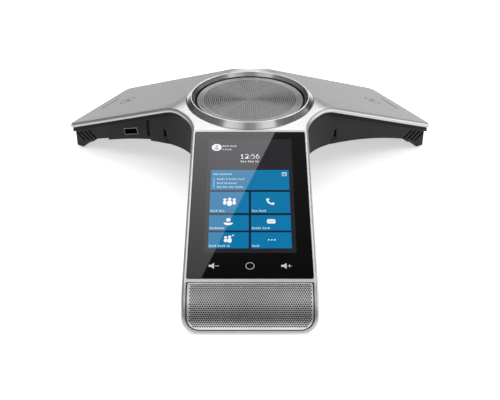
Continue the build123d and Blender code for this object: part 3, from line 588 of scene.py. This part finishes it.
def make_ring_crest(material):
    """The rounded bead along the crest of the speaker ring; it catches real reflections, and its
    metal, far brighter than the ring's, paints a highlight along the crest.
    """
    centre = RING_HIGH.z / MM - CREST_BEAD_R * CREST_SUNK
    profile = circle_points(RING_CREST_R, centre, CREST_BEAD_R, 10)
    points, faces = lathe(profile, SPEAKER_SEGMENTS)
    mesh = mesh_from("speaker_ring_crest", points, faces)
    weld(mesh)
    piece("speaker_ring_crest", mesh, material, smooth=60)


# ---- Speaker spider -----------------------------------------------------------------------------
def spider_profile():
    """Half section of the corrugated disc between the voice coil and the basket."""
    heights = (SPIDER_WAVE_TOP, SPIDER_WAVE_LOW) * SPIDER_WAVES
    waves = [(SPIDER_WAVE_R + SPIDER_WAVE_STEP * i, height) for i, height in enumerate(heights)]
    upper = [(SPIDER_INNER_R, SPIDER_INNER_TOP)] + waves + [(SPIDER_OUTER_R, SPIDER_WAVE_LOW)]
    lower = [(radius, height - SPIDER_T) for radius, height in upper]
    return lower[:1] + upper + lower[:0:-1]


def make_spider(material):
    """The spider in equal sectors, each spanning from the coil to the basket."""
    profile = spider_profile()
    size = len(profile)
    sector_turn = 2 * math.pi / SPIDER_SECTORS
    for sector in range(SPIDER_SECTORS):
        turns = [sector_turn * (sector + step / SPIDER_STEPS) for step in range(SPIDER_STEPS + 1)]
        rings = [[around_hub(turn, *place) for place in profile] for turn in turns]
        points, sides = skin(rings, closed=False)
        ends = [tuple(range(size)), tuple(range(SPIDER_STEPS * size, len(points)))]
        name = f"speaker_spider_{sector + 1}"
        mesh = mesh_from(name, points, ends + sides)
        weld(mesh)
        obj = add_object(name, mesh, material)
        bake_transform(obj)
        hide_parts("speaker_spider")


# ---- Front grille -------------------------------------------------------------------------------
def nose_place(x, along, depth):
    """A place on the nose: across, along the roll from its start, and below the surface."""
    slope = math.asin((GLASS.to_3x3() @ Vector((0, 1, 0))).z)
    start = on_glass(x, NOSE_FROM_GLASS_TOP)

    def normal(turn):
        return Vector((0, -math.sin(turn), math.cos(turn)))

    turn1 = math.radians(NOSE_TURN1)
    reach1 = NOSE_R1 * (turn1 - slope)
    centre = start - normal(slope) * NOSE_R1 * MM
    if along <= reach1:
        turn = slope + along / NOSE_R1
        return centre + normal(turn) * (NOSE_R1 - depth) * MM
    turn = turn1 + (along - reach1) / NOSE_R2
    centre = centre + normal(turn1) * (NOSE_R1 - NOSE_R2) * MM
    return centre + normal(turn) * (NOSE_R2 - depth) * MM


def rounded_rectangle(half, low, high, low_radius, high_radius, step=6):
    """Outline with its own radius on each pair of corners, anticlockwise from the lower left."""
    corners = [
        (-half + low_radius, low + low_radius, low_radius, 180),
        (half - low_radius, low + low_radius, low_radius, 270),
        (half - high_radius, high - high_radius, high_radius, 0),
        (-half + high_radius, high - high_radius, high_radius, 90),
    ]
    points = []
    for x, y, radius, start in corners:
        count = max(2, int(radius * step / 2))
        points += ellipse_arc(x, y, radius, radius, start, start + 90, count)
    return points


def split_long(points):
    """The same outline with its long straight runs divided, so that it can bend."""
    result = []
    for (ax, ay), (bx, by) in zip(points, points[1:] + points[:1]):
        count = max(1, math.ceil(math.dist((ax, ay), (bx, by)) / LONGEST_RUN))
        result += [(ax + (bx - ax) * i / count, ay + (by - ay) * i / count) for i in range(count)]
    return result


def front_holes():
    """Staggered rows of holes inside the grille's outline, measured up from its lower edge."""
    holes = []
    rise = (FRONT_GRILLE_LENGTH - FRONT_FIRST_ROW - FRONT_LAST_ROW) / (FRONT_ROWS - 1)
    columns = int((FRONT_GRILLE_HALF - FRONT_SIDE_RIM) / FRONT_PITCH)
    for row in range(FRONT_ROWS):
        y = FRONT_FIRST_ROW + row * rise
        shift = FRONT_PITCH / 2 if row % 2 else 0.0
        for column in range(-columns, columns + 1):
            x = column * FRONT_PITCH + shift
            if inside_grille(x, y, FRONT_SIDE_RIM - 0.1):
                holes.append((x, FRONT_GRILLE_LENGTH - y, FRONT_HOLE_R))
    return holes


def inside_grille(x, y, margin):
    """Whether a place is that far inside the grille; y is down from the upper edge."""
    half = FRONT_GRILLE_HALF - margin
    if abs(x) > half:
        return False
    radius = FRONT_GRILLE_CORNER - margin
    dx = abs(x) - (half - radius)
    dy = y - (FRONT_GRILLE_LENGTH - margin - radius)
    return not (dx > 0 and dy > 0 and math.hypot(dx, dy) > radius)


def inset(outline, distance):
    """The same outline drawn in by a distance."""
    result = []
    for i, (x, y) in enumerate(outline):
        before = Vector(outline[i - 1])
        after = Vector(outline[(i + 1) % len(outline)])
        run = (after - before).normalized()
        result.append((x - run.y * distance, y + run.x * distance))
    return result


def grille_place(x, y, depth):
    """A place on the front grille, up from its lower edge."""
    return nose_place(x, FRONT_GRILLE_MARGIN + FRONT_GRILLE_LENGTH - y, depth)


def make_front_grille(material, inside):
    corners = (FRONT_GRILLE_CORNER, FRONT_GRILLE_TOP_CORNER)
    edge = split_long(rounded_rectangle(FRONT_GRILLE_HALF, 0, FRONT_GRILLE_LENGTH, *corners))
    points, triangles, loops = perforated(edge, front_holes())
    points, faces = thick_sheet(points, triangles, loops, grille_place, SHEET_T)
    mesh = mesh_from("front_grille_sheet", points, faces)
    # The holes' walls take the second material: near-black painted shade inside the holes.
    second_material(mesh, 2 * len(triangles) + len(edge), len(faces))
    weld(mesh)
    obj = piece("front_grille_sheet", mesh, material, smooth=30)
    mesh.materials.append(inside)
    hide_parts("front_grille")


def make_gap_shade_strip(material):
    """A near-black strip in the gap between the front grille and the cover: painted shade in the
    gap.
    """
    top = FRONT_GRILLE_LENGTH + FRONT_WINDOW_TOP
    low_corner = FRONT_GRILLE_CORNER + FRONT_WINDOW_HALF - FRONT_GRILLE_HALF
    corners = (low_corner, FRONT_GRILLE_TOP_CORNER)
    outer = split_long(rounded_rectangle(FRONT_WINDOW_HALF, -FRONT_WINDOW_LOW, top, *corners))
    inner = inset(outer, GAP_SHADE_W)
    rings = [(outer, GAP_SHADE_DEPTH), (inner, GAP_SHADE_DEPTH), (inner, GAP_SHADE_LOW), (outer, GAP_SHADE_LOW)]
    points, faces = skin([[grille_place(x, y, depth) for x, y in ring] for ring, depth in rings])
    mesh = mesh_from("front_grille_gap_shade", points, faces)
    weld(mesh)
    piece("front_grille_gap_shade", mesh, material)


# ---- Flat shapes on the display -----------------------------------------------------------------
def disc(x, y, radius, count=28):
    return circle_points(x, y, radius, count)


def bar(x0, y0, x1, y1, radius=0.0):
    if radius <= 0:
        return [(x0, y0), (x1, y0), (x1, y1), (x0, y1)]
    middle = (x0 + x1) / 2
    outline = rounded_rectangle((x1 - x0) / 2, y0, y1, radius, radius, step=10)
    return [(x + middle, y) for x, y in outline]


def arc_band(x, y, radius, width, start, end, count=32):
    """Part of a ring, in degrees."""
    outer, inner = (
        ellipse_arc(x, y, reach, reach, start, end, count)
        for reach in (radius + width / 2, radius - width / 2)
    )
    return outer + inner[::-1]


def quarter_ring(y, radius, width):
    """A whole ring in four equal bands."""
    return [arc_band(0, y, radius, width, 90 * i, 90 * (i + 1), 12) for i in range(4)]


def person(x, top, head, width, low):
    """A generic person: a round head over a rounded body."""
    neck = top + 2 * head + 0.15
    return [disc(x, top + head, head), bar(x - width / 2, neck, x + width / 2, low, width * 0.45)]


def shoulders(x, top, low, half):
    """The shallow bowl of a person's shoulders."""
    edge = top + 0.25
    neck = [(x - half * 0.6, top), (x, top + 0.45), (x + half * 0.6, top)]
    bowl = ellipse_arc(x, edge, half, low - edge, 0, 180, 14)[1:-1]
    return [(x - half, edge)] + neck + [(x + half, edge)] + bowl


def stroke(points, width):
    """A line of even width along the given points, with square ends."""
    left = []
    right = []
    for i, (x, y) in enumerate(points):
        before = points[max(i - 1, 0)]
        after = points[min(i + 1, len(points) - 1)]
        run = Vector((after[0] - before[0], after[1] - before[1])).normalized() * width / 2
        left.append((x - run.y, y + run.x))
        right.append((x + run.y, y - run.x))
    return left + right[::-1]


def plates(name, outlines, layer, material, place=on_glass):
    """Thin plates of the given outlines, laid in a layer on a surface as one piece."""
    lift = layer * PLATE_T
    points = []
    faces = []
    for outline in outlines:
        start = len(points)
        count = len(outline)
        points += [place(x, y, lift + PLATE_T) for x, y in outline]
        points += [place(x, y, lift) for x, y in outline]
        faces.append(tuple(range(start, start + count)))
        faces.append(tuple(range(start + 2 * count - 1, start + count - 1, -1)))
        for i in range(count):
            j = (i + 1) % count
            faces.append((start + j, start + i, start + count + i, start + count + j))
    mesh = mesh_from(name, points, faces)
    work = bmesh.new()
    work.from_mesh(mesh)
    bmesh.ops.recalc_face_normals(work, faces=work.faces)
    big = [face for face in work.faces if len(face.verts) > 4]
    bmesh.ops.triangulate(work, faces=big)
    work.to_mesh(mesh)
    work.free()
    piece(name, mesh, material)


def caption(x, y, words, size):
    """Blank letter shapes that stand for words; each word is its number of letters."""
    shapes = []
    for word in words:
        for letter in range(word):
            rise = size * (0.62 if letter % 3 == 0 else 0.40)
            width = size * (0.34 if (letter + word) % 4 == 2 else 0.52)
            shapes.append(bar(x, y - rise, x + width, y + size * 0.38, size * 0.12))
            x += width + size * 0.17
        x += size * 0.40
    return shapes


DIGIT_STROKES = {
    "1": [[(0.14, 0.19), (0.54, 0.02), (0.54, 1.0)], [(0.12, 1.0), (0.98, 1.0)]],
    "2": [ellipse_arc(0.48, 0.29, 0.44, 0.29, 195, 385) + [(0.06, 0.98), (0.06, 1.0), (1.0, 1.0)]],
    "5": [[(0.90, 0.0), (0.14, 0.0), (0.14, 0.46)] + ellipse_arc(0.46, 0.67, 0.48, 0.33, 240, 480)],
    "6": [
        ellipse_arc(0.52, 0.67, 0.43, 0.33, 0, 360),
        ellipse_arc(0.72, 0.58, 0.64, 0.58, 272, 175),
    ],
}
DIGIT_W = 2.55
DIGIT_H = 4.4
DIGIT_STEP = 3.3


def clock(x, y, digits="12:56", width=0.42):
    """The time of day in round strokes, from its left edge and its digits' top."""
    shapes = []
    for digit in digits:
        if digit == ":":
            shapes += [disc(x + 0.35, y + DIGIT_H * share, 0.36, 14) for share in (0.38, 0.95)]
            x += DIGIT_STEP * 0.42
            continue
        for line in DIGIT_STROKES[digit]:
            shapes.append(stroke([(x + px * DIGIT_W, y + py * DIGIT_H) for px, py in line], width))
        x += DIGIT_STEP
    return shapes


COLUMNS = ((-28.2, -0.85), (0.75, 28.1))
TILE_ROWS = ((62.6, 82.8), (84.8, 98.8), (100.5, 114.6))
WIDE_TILE = (40.6, 60.6)
SCREEN = (-31.05, 8.1, 31.05, 118.5)
KEY_ROW = 129.6


def screen_tiles():
    tiles = [bar(COLUMNS[0][0], WIDE_TILE[0], COLUMNS[1][1], WIDE_TILE[1])]
    for low, high in TILE_ROWS:
        tiles += [bar(left, low, right, high) for left, right in COLUMNS]
    return tiles


def handset(x, y, radius):
    """A telephone handset: a bent grip with a pad at each end."""
    grip = arc_band(x, y, radius, 0.30 * radius, 92, 184)
    pads = []
    for angle in (90, 186):
        turn = math.radians(angle)
        across = Vector((math.cos(turn), math.sin(turn)))
        along = Vector((-across.y, across.x))
        centre = Vector((x, y)) + across * 0.93 * radius
        half_w, half_h, corner = 0.26 * radius, 0.22 * radius, 0.14 * radius
        outline = rounded_rectangle(half_w, -half_h, half_h, corner, corner, 10)
        pads.append([tuple(centre + across * px + along * py) for px, py in outline])
    return [grip] + pads


def calendar_icon(x, y, size):
    shapes = [
        bar(x - size, y - size, x + size, y - 0.55 * size),
        bar(x - size, y - 0.35 * size, x - 0.8 * size, y + size),
        bar(x + 0.8 * size, y - 0.35 * size, x + size, y + size),
        bar(x - 0.75 * size, y + 0.8 * size, x + 0.75 * size, y + size),
    ]
    shapes += [disc(x + dx * size, y + 0.25 * size, 0.14 * size, 12) for dx in (-0.4, 0.1, 0.6)]
    return shapes


def speaker_icon(x, y, plus):
    """A loudspeaker with a minus or plus sign beside it."""
    upper = [(x - 3.4, y - 0.85), (x - 1.7, y - 0.85), (x + 0.1, y - 2.5)]
    cone = upper + [(px, 2 * y - py) for px, py in reversed(upper)]
    shapes = [cone, bar(x + 0.75, y - 0.2, x + 3.4, y + 0.2)]
    if plus:
        left, right = x + 1.85, x + 2.25
        shapes += [bar(left, y - 1.2, right, y - 0.2), bar(left, y + 0.2, right, y + 1.2)]
    return shapes


def screen_icons():
    """White pictures of the six tiles and of the wide one."""
    shapes = person(-17.7, 68.9, 1.15, 2.3, 74.8) + person(-11.1, 68.9, 1.15, 2.3, 74.8)
    shapes += person(-14.4, 68.2, 1.25, 3.3, 76.0)
    shapes += handset(16.2, 70.2, 4.0)
    shapes += [disc(-14.9, 89.1, 1.55), shoulders(-14.9, 91.6, 94.0, 3.2)]
    shapes += [bar(11.65, 88.5, 17.55, 92.5, 1.2)]
    shapes += person(-16.5, 104.0, 1.05, 2.25, 109.2) + person(-13.8, 103.4, 1.12, 2.85, 109.7)
    shapes.append(disc(-11.5, 103.2, 0.6, 16))
    shapes += [disc(x, 107.2, 0.55, 18) for x in (12.7, 14.75, 16.8)]
    return shapes + calendar_icon(24.8, 44.9, 1.7)


def screen_captions():
    """Blank letter shapes where the screen has captions."""
    lines = [
        (-26.4, 45.0, (3, 7), 1.9),
        (-23.7, 50.0, (5, 1, 5, 4), 1.8),
        (-23.7, 54.1, (4, 8), 1.8),
        (-23.7, 57.9, (3, 3, 3, 5), 1.8),
    ]
    words = ((4, 3), (3, 4), (8,), (5, 4), (4, 4, 2), (4,))
    spots = [(column[0] + 0.6, row[1] - 1.9) for row in TILE_ROWS for column in COLUMNS]
    lines += [(x, y, count, 2.0) for (x, y), count in zip(spots, words)]
    return [shape for x, y, count, size in lines for shape in caption(x, y, count, size)]


def make_screen():
    back = lit_material("screen_back", (0.0165, 0.0155, 0.0215))
    gap = lit_material("screen_gap", (0.003, 0.014, 0.034))
    tile = lit_material("screen_tile", (0.0, 0.178, 0.39))
    white = lit_material("screen_white", (0.9, 0.93, 0.95))
    pale = lit_material("screen_caption", (0.34, 0.54, 0.66))
    grey = lit_material("screen_grey", (0.45, 0.45, 0.47))
    left, top, right, low = SCREEN
    gap_plate = bar(COLUMNS[0][0], WIDE_TILE[0], COLUMNS[1][1], TILE_ROWS[2][1])
    fold = stroke([(12.2, 89.7), (14.6, 91.2), (17.0, 89.6)], 0.36)
    names = caption(-20.4, 15.5, (4, 4), 1.9) + caption(-20.4, 19.1, (1, 5), 1.6)
    names += caption(-6.9, 31.9, (3, 3, 2), 2.2)
    shapes = (
        ("screen_back", [bar(left, top, right, low, 0.3)], 0, back),
        ("screen_gap", [gap_plate], 1, gap),
        ("screen_tiles", screen_tiles(), 2, tile),
        ("screen_icons", screen_icons(), 3, white),
        ("screen_captions", screen_captions(), 3, pale),
        ("screen_envelope_fold", [fold], 4, tile),
        ("screen_accent_bar", [bar(-26.1, 48.7, -25.6, 58.6)], 3, pale),
        ("screen_names", names, 1, grey),
        ("screen_clock", clock(-7.0, 24.1), 1, white),
        ("screen_avatar", [disc(-24.8, 16.8, 3.65, 40)], 1, white),
        ("screen_avatar_person", person(-24.8, 14.2, 1.25, 3.6, 19.6), 2, grey),
    )
    for name, outlines, layer, material in shapes:
        plates(name, outlines, layer, material)


def make_key_icons():
    print_white = lit_material("key_backlight", (0.66, 0.67, 0.67), 0.9)
    plates("key_volume_down", speaker_icon(-23.8, KEY_ROW, False), 0, print_white)
    plates("key_volume_up", speaker_icon(24.0, KEY_ROW, True), 0, print_white)
    plates("key_home", quarter_ring(KEY_ROW, 2.75, 0.36), 0, print_white)


def make_mute_marks():
    """Faint marks on the rear arms' touch areas: a crossed-out microphone in a ring."""
    grey = printed("mark_print", (0.11, 0.11, 0.11), vary=0.05)
    for name, side in (("mute_mark_left", -1), ("mute_mark_right", 1)):
        marks = quarter_ring(MARK_AT, MARK_R, 0.7)
        marks.append(bar(-1.4, MARK_AT - 3.9, 1.4, MARK_AT + 0.8, 1.3))
        marks.append(stroke(ellipse_arc(0, MARK_AT - 0.2, 2.7, 2.9, 0, 180, 14), 0.45))
        marks.append(stroke([(0, MARK_AT + 2.9), (0, MARK_AT + 4.6)], 0.45))
        marks.append(stroke([(-3.9, MARK_AT - 3.9), (3.9, MARK_AT + 3.9)], 0.5))
        plates(name, marks, 0, grey, place=on_arm(side))


# ---- Finishes for the carried-over CAD nodes ----------------------------------------------------
def board_material():
    """Green solder mask with straight copper tracks under it."""
    shader = Shader("circuit_board", Roughness=0.35, Coat_Weight=0.4)
    brick = shader.node("ShaderNodeTexBrick", Vector=shader.place(), Scale=260.0, Mortar_Size=0.06,
                        Color1=(0.010, 0.085, 0.035, 1), Color2=(0.016, 0.125, 0.05, 1),
                        Mortar=(0.03, 0.2, 0.085, 1))
    shader.bump(brick.outputs["Fac"], 0.3, 0.00003)
    shader.feed(Base_Color=brick.outputs["Color"])
    return shader.material


def finish_nodes():
    """Gives every carried-over node the material of its slot, and the service port the black port
    plastic as painted shade inside the port.
    """
    finishes = {
        "cover": silver_paint(),
        # the second colour is the painted shade on the band under the cover
        "base": base_plastic((0.022, 0.0225, 0.024), (0.004, 0.004, 0.0045)),
        "port_steel": metal("port_steel", (0.22, 0.22, 0.225), stretch=(1, 1, 8)),
        "port_plastic": moulded("port_plastic", (0.02, 0.02, 0.022), rough=0.4),
        "circuit_board": board_material(),
        "bright_ring": turned_metal("turned_ring", (0.34, 0.34, 0.345), 0.2, 0.24),
        "grille_steel": metal("plain_grille_steel", (0.4, 0.4, 0.4)),
        "acoustic_cloth": woven("acoustic_cloth", (0.003, 0.003, 0.0033)),
        "foam": moulded("foam", (0.004, 0.004, 0.004), rough=0.9, grain=1800, depth=0.0001),
        "screw_steel": metal("screw_steel", (0.16, 0.16, 0.17), rough=0.35),
        "inner_steel": metal("inner_steel", (0.42, 0.42, 0.44)),
        "magnet": moulded("magnet", (0.045, 0.045, 0.048), grain=700),
        "copper": metal("copper_wire", (0.62, 0.27, 0.1), stretch=(1, 1, 30)),
        "cone_paper": moulded("cone_paper", (0.03, 0.03, 0.032), 0.85, grain=600, depth=0.0002),
        "surround_rubber": moulded("surround_rubber", (0.014, 0.014, 0.014), rough=0.42),
        "spider_cloth": woven("spider_cloth", (0.42, 0.28, 0.1), scale=900),
        "display_glass": glass_material(),
        "lcd": moulded("lcd_film", (0.015, 0.015, 0.02), rough=0.2),
        "backlight_metal": metal("backlight_metal", (0.62, 0.62, 0.64), 0.35, stretch=(1, 12, 1)),
        "bracket_plastic": moulded("bracket_plastic", (0.035, 0.035, 0.038), rough=0.55),
        "ribbon": moulded("ribbon_film", (0.42, 0.2, 0.04), rough=0.25, grain=300),
        "lamp": moulded("lamp_body", (0.8, 0.8, 0.74), rough=0.3),
        "chip": moulded("chip_body", (0.012, 0.012, 0.013), grain=2000),
        "can_steel": metal("can_steel", (0.58, 0.58, 0.58)),
        "light_guide": printed("light_guide", (0.06, 0.06, 0.063), vary=0.04),
        "mic_rubber": moulded("mic_rubber", (0.02, 0.02, 0.02), rough=0.8),
        "contact_brass": metal("contact_gold", (0.8, 0.55, 0.2), rough=0.2),
        "wire": moulded("wire_jacket", (0.02, 0.02, 0.022), rough=0.45),
        "plate": moulded("blank_plate", (0.12, 0.12, 0.125), rough=0.4, grain=400),
        "foot_rubber": moulded("foot_rubber", (0.016, 0.016, 0.016), rough=0.85),
    }
    for part in frame["record"]["subparts"]:
        node = NODES[part["node"]]
        node.data.materials.clear()
        node.data.materials.append(finishes[part["material_slot"]])
    # The service port's steel is given the black port plastic: painted shade inside the port.
    port_shade_materials = NODES["service_port"].data.materials
    port_shade_materials.clear()
    port_shade_materials.append(finishes["port_plastic"])
    return finishes


# ---- Camera, floor and light --------------------------------------------------------------------
CAMERA_BACK = 0.6468             # from the hub's axis towards the viewer, metres
CAMERA_HEIGHT = 0.3737
CAMERA_DOWN = 31.96              # degrees below level
CAMERA_LENS = 63.2               # focal length and sensor width, millimetres
CAMERA_SENSOR = 36.0
FLOOR_HALF = 6.0                 # metres
FLOOR_GLOW = 0.55


def make_camera():
    data = bpy.data.cameras.new("camera")
    data.lens = CAMERA_LENS
    data.sensor_width = CAMERA_SENSOR
    data.clip_start = 0.01
    obj = bpy.data.objects.new("camera", data)
    obj.location = (HUB_AXIS.x, HUB_AXIS.y - CAMERA_BACK, CAMERA_HEIGHT)
    obj.rotation_euler = (math.radians(90 - CAMERA_DOWN), 0, 0)
    bpy.context.scene.collection.objects.link(obj)
    bpy.context.scene.camera = obj


def make_floor():
    """A wide, flat, pale floor."""
    shader = Shader("pale_floor", Roughness=0.9, Emission_Strength=FLOOR_GLOW)
    speck = shader.noise(14, detail=3)
    shader.feed(Base_Color=shader.between(speck, (0.93, 0.93, 0.93), (0.95, 0.95, 0.95)))
    corners = [(x * FLOOR_HALF, y * FLOOR_HALF, 0) for x, y in ((-1, -1), (1, -1), (1, 1), (-1, 1))]
    mesh = mesh_from("floor", corners, [(0, 1, 2, 3)])
    floor = add_object("floor", mesh, shader.material)


def card(name, centre, target, size, radiance, fade=None):
    """A softbox; fade is its radiance's share at the far end of its height, where it is graded."""
    data = bpy.data.lights.new(name, "AREA")
    data.shape = "RECTANGLE"
    data.size, data.size_y = size
    data.energy = radiance * math.pi * size[0] * size[1]
    obj = bpy.data.objects.new(name, data)
    obj.location = centre
    obj.rotation_euler = (Vector(target) - Vector(centre)).to_track_quat("-Z", "Y").to_euler()
    bpy.context.scene.collection.objects.link(obj)
    if fade is not None:
        data.use_nodes = True
        graph = Graph(data.node_tree)
        place = graph.node("ShaderNodeNewGeometry").outputs["Parametric"]
        _, along, _ = graph.axes(place)
        ramp = graph.node("ShaderNodeMapRange", Value=along, To_Min=fade, To_Max=1.0)
        graph.give(graph.tree.nodes["Emission"].inputs["Strength"], ramp.outputs["Result"])
    return obj


def mirrored(place, height):
    """Where the camera sees the ceiling at that height, reflected in the display at that place."""
    eye = bpy.context.scene.camera.location
    normal = GLASS.to_3x3() @ Vector((0, 0, 1))
    ray = (place - eye).normalized()
    ray -= 2 * ray.dot(normal) * normal
    return place + ray * (height - place.z) / ray.z


GLARE_TOP = (19.0, 0.0)          # places on the display that the glare's edge passes through
GLARE_LOW = (-32.0, 140.4)


def glare_card(height=1.3, width=0.26, radiance=2.9, fade=0.24):
    """A graded card whose edge crosses the display's reflection on a slant."""
    high = mirrored(on_glass(*GLARE_TOP), height)
    low = mirrored(on_glass(*GLARE_LOW), height)
    edge = high - low
    side = Vector((-edge.y, edge.x, 0)).normalized()
    centre = (high + low) / 2 + side * width / 2
    size = (width, edge.length * 1.5)
    obj = card("glare_card", centre, centre - Vector((0, 0, 1)), size, radiance, fade)
    obj.rotation_euler = (0, 0, math.atan2(edge.y, edge.x) - math.pi / 2)


WORLD_MIDDLE = (     # degrees up from the back horizon and over to the front one, and radiance
    (0, 0.1), (12, 0.16), (26, 0.2), (35, 0.7), (48, 0.75), (55, 0.45), (58, 0.18), (68, 0.03),
    (75, 0.15), (83, 0.85), (100, 0.95), (112, 0.62), (136, 0.55), (150, 0.48), (162, 0.34),
    (172, 0.12), (180, 0.12),
)
WORLD_ASIDE = (      # the same, to the left and right of what the display mirrors
    (0, 0.1), (12, 0.16), (26, 0.2), (35, 0.7), (83, 0.75), (112, 0.62), (136, 0.55),
    (150, 0.48), (162, 0.34), (172, 0.12), (180, 0.12),
)
WORLD_MIDDLE_EDGE = (0.17, 0.40)  # sideways part of a direction, where one turns into the other
WORLD_SIDES = 0.35               # the surroundings' strength straight to the sides
WORLD_SIDES_EDGE = (0.40, 0.80)


def world_ramp(graph, share, stops):
    ramp = graph.node("ShaderNodeValToRGB", Fac=share)
    elements = ramp.color_ramp.elements
    while len(elements) < len(stops):
        elements.new(0.5)
    for element, (degrees, value) in zip(elements, stops):
        element.position = degrees / 180
        element.color = (value, value, value, 1)
    return ramp.outputs["Color"]


def world_blend(graph, value, edge, low, high):
    """Goes smoothly from low at the edge's start to high at its end."""
    limits = {"From_Min": edge[0], "From_Max": edge[1], "To_Min": low, "To_Max": high}
    blend = graph.node("ShaderNodeMapRange", Value=value, **limits)
    blend.interpolation_type = "SMOOTHSTEP"
    return blend.outputs["Result"]


def make_world():
    """Soft studio surroundings, graded from the back wall over the ceiling to the front."""
    world = bpy.data.worlds.new("studio")
    world.use_nodes = True
    graph = Graph(world.node_tree)
    x, y, z = graph.axes(graph.node("ShaderNodeTexCoord").outputs["Generated"])
    share = graph.math("DIVIDE", graph.math("ARCTAN2", z, y), math.pi)
    aside = graph.math("ABSOLUTE", x)
    outwards = world_blend(graph, aside, WORLD_MIDDLE_EDGE, 0, 1)
    middle = world_ramp(graph, share, WORLD_MIDDLE)
    beside = world_ramp(graph, share, WORLD_ASIDE)
    surroundings = graph.tree.nodes["Background"].inputs
    graph.give(surroundings["Color"], graph.mix(outwards, middle, beside))
    strength = world_blend(graph, aside, WORLD_SIDES_EDGE, 1, WORLD_SIDES)
    graph.give(surroundings["Strength"], strength)
    bpy.context.scene.world = world


HUB_TOP = (HUB_AXIS.x, HUB_AXIS.y, 0.05)
DISPLAY_MIDDLE = (0.0, -0.06, 0.03)
CARDS = (            # name, place, what it points at, size and radiance, in metres
    ("back_card", (0.12, 1.45, 1.18), HUB_TOP, (1.6, 0.5), 4.2),
    ("right_card", (1.3, 0.15, 0.28), (0.0, 0.0, 0.05), (1.4, 0.45), 3.0),
    ("front_left_card", (-0.62, -0.75, 1.32), HUB_TOP, (0.8, 0.5), 2.0),
    ("front_right_card", (0.62, -0.75, 1.32), HUB_TOP, (0.8, 0.5), 2.0),
    ("left_fill", (-0.56, 0.62, 1.4), DISPLAY_MIDDLE, (0.5, 0.7), 3.0),
    ("right_fill", (0.58, 0.62, 1.4), DISPLAY_MIDDLE, (0.5, 0.7), 2.8),
)


def make_lights():
    for values in CARDS:
        card(*values)
    glare_card()


# ---- Build --------------------------------------------------------------------------------------
make_camera()
make_floor()
make_world()
make_lights()
FINISHES = finish_nodes()
# Near-black for the walls of the grilles' holes: painted shade inside the holes.
HOLE_SHADE = moulded("painted_hole_shade", (0.004, 0.004, 0.004), rough=0.7)
SPEAKER_STEEL = turned_metal("speaker_grille_steel", (0.21, 0.21, 0.213), 0.3, 0.36)
make_speaker_grille(SPEAKER_STEEL, HOLE_SHADE)
FRONT_STEEL = metal("front_grille_steel", (0.57, 0.57, 0.575), stretch=(1, 6, 6))
make_front_grille(FRONT_STEEL, HOLE_SHADE)
# near-black strip that paints the shade in the gap round the front grille
make_gap_shade_strip(FINISHES["foam"])
# the bead's metal, much brighter than the ring's, is a painted highlight along the crest
make_ring_crest(metal("crest_highlight_metal", (0.92, 0.92, 0.92), vary=0.03))
make_spider(FINISHES["spider_cloth"])
make_screen()
make_key_icons()
make_mute_marks()
bpy.context.scene.view_settings.view_transform = "Standard"
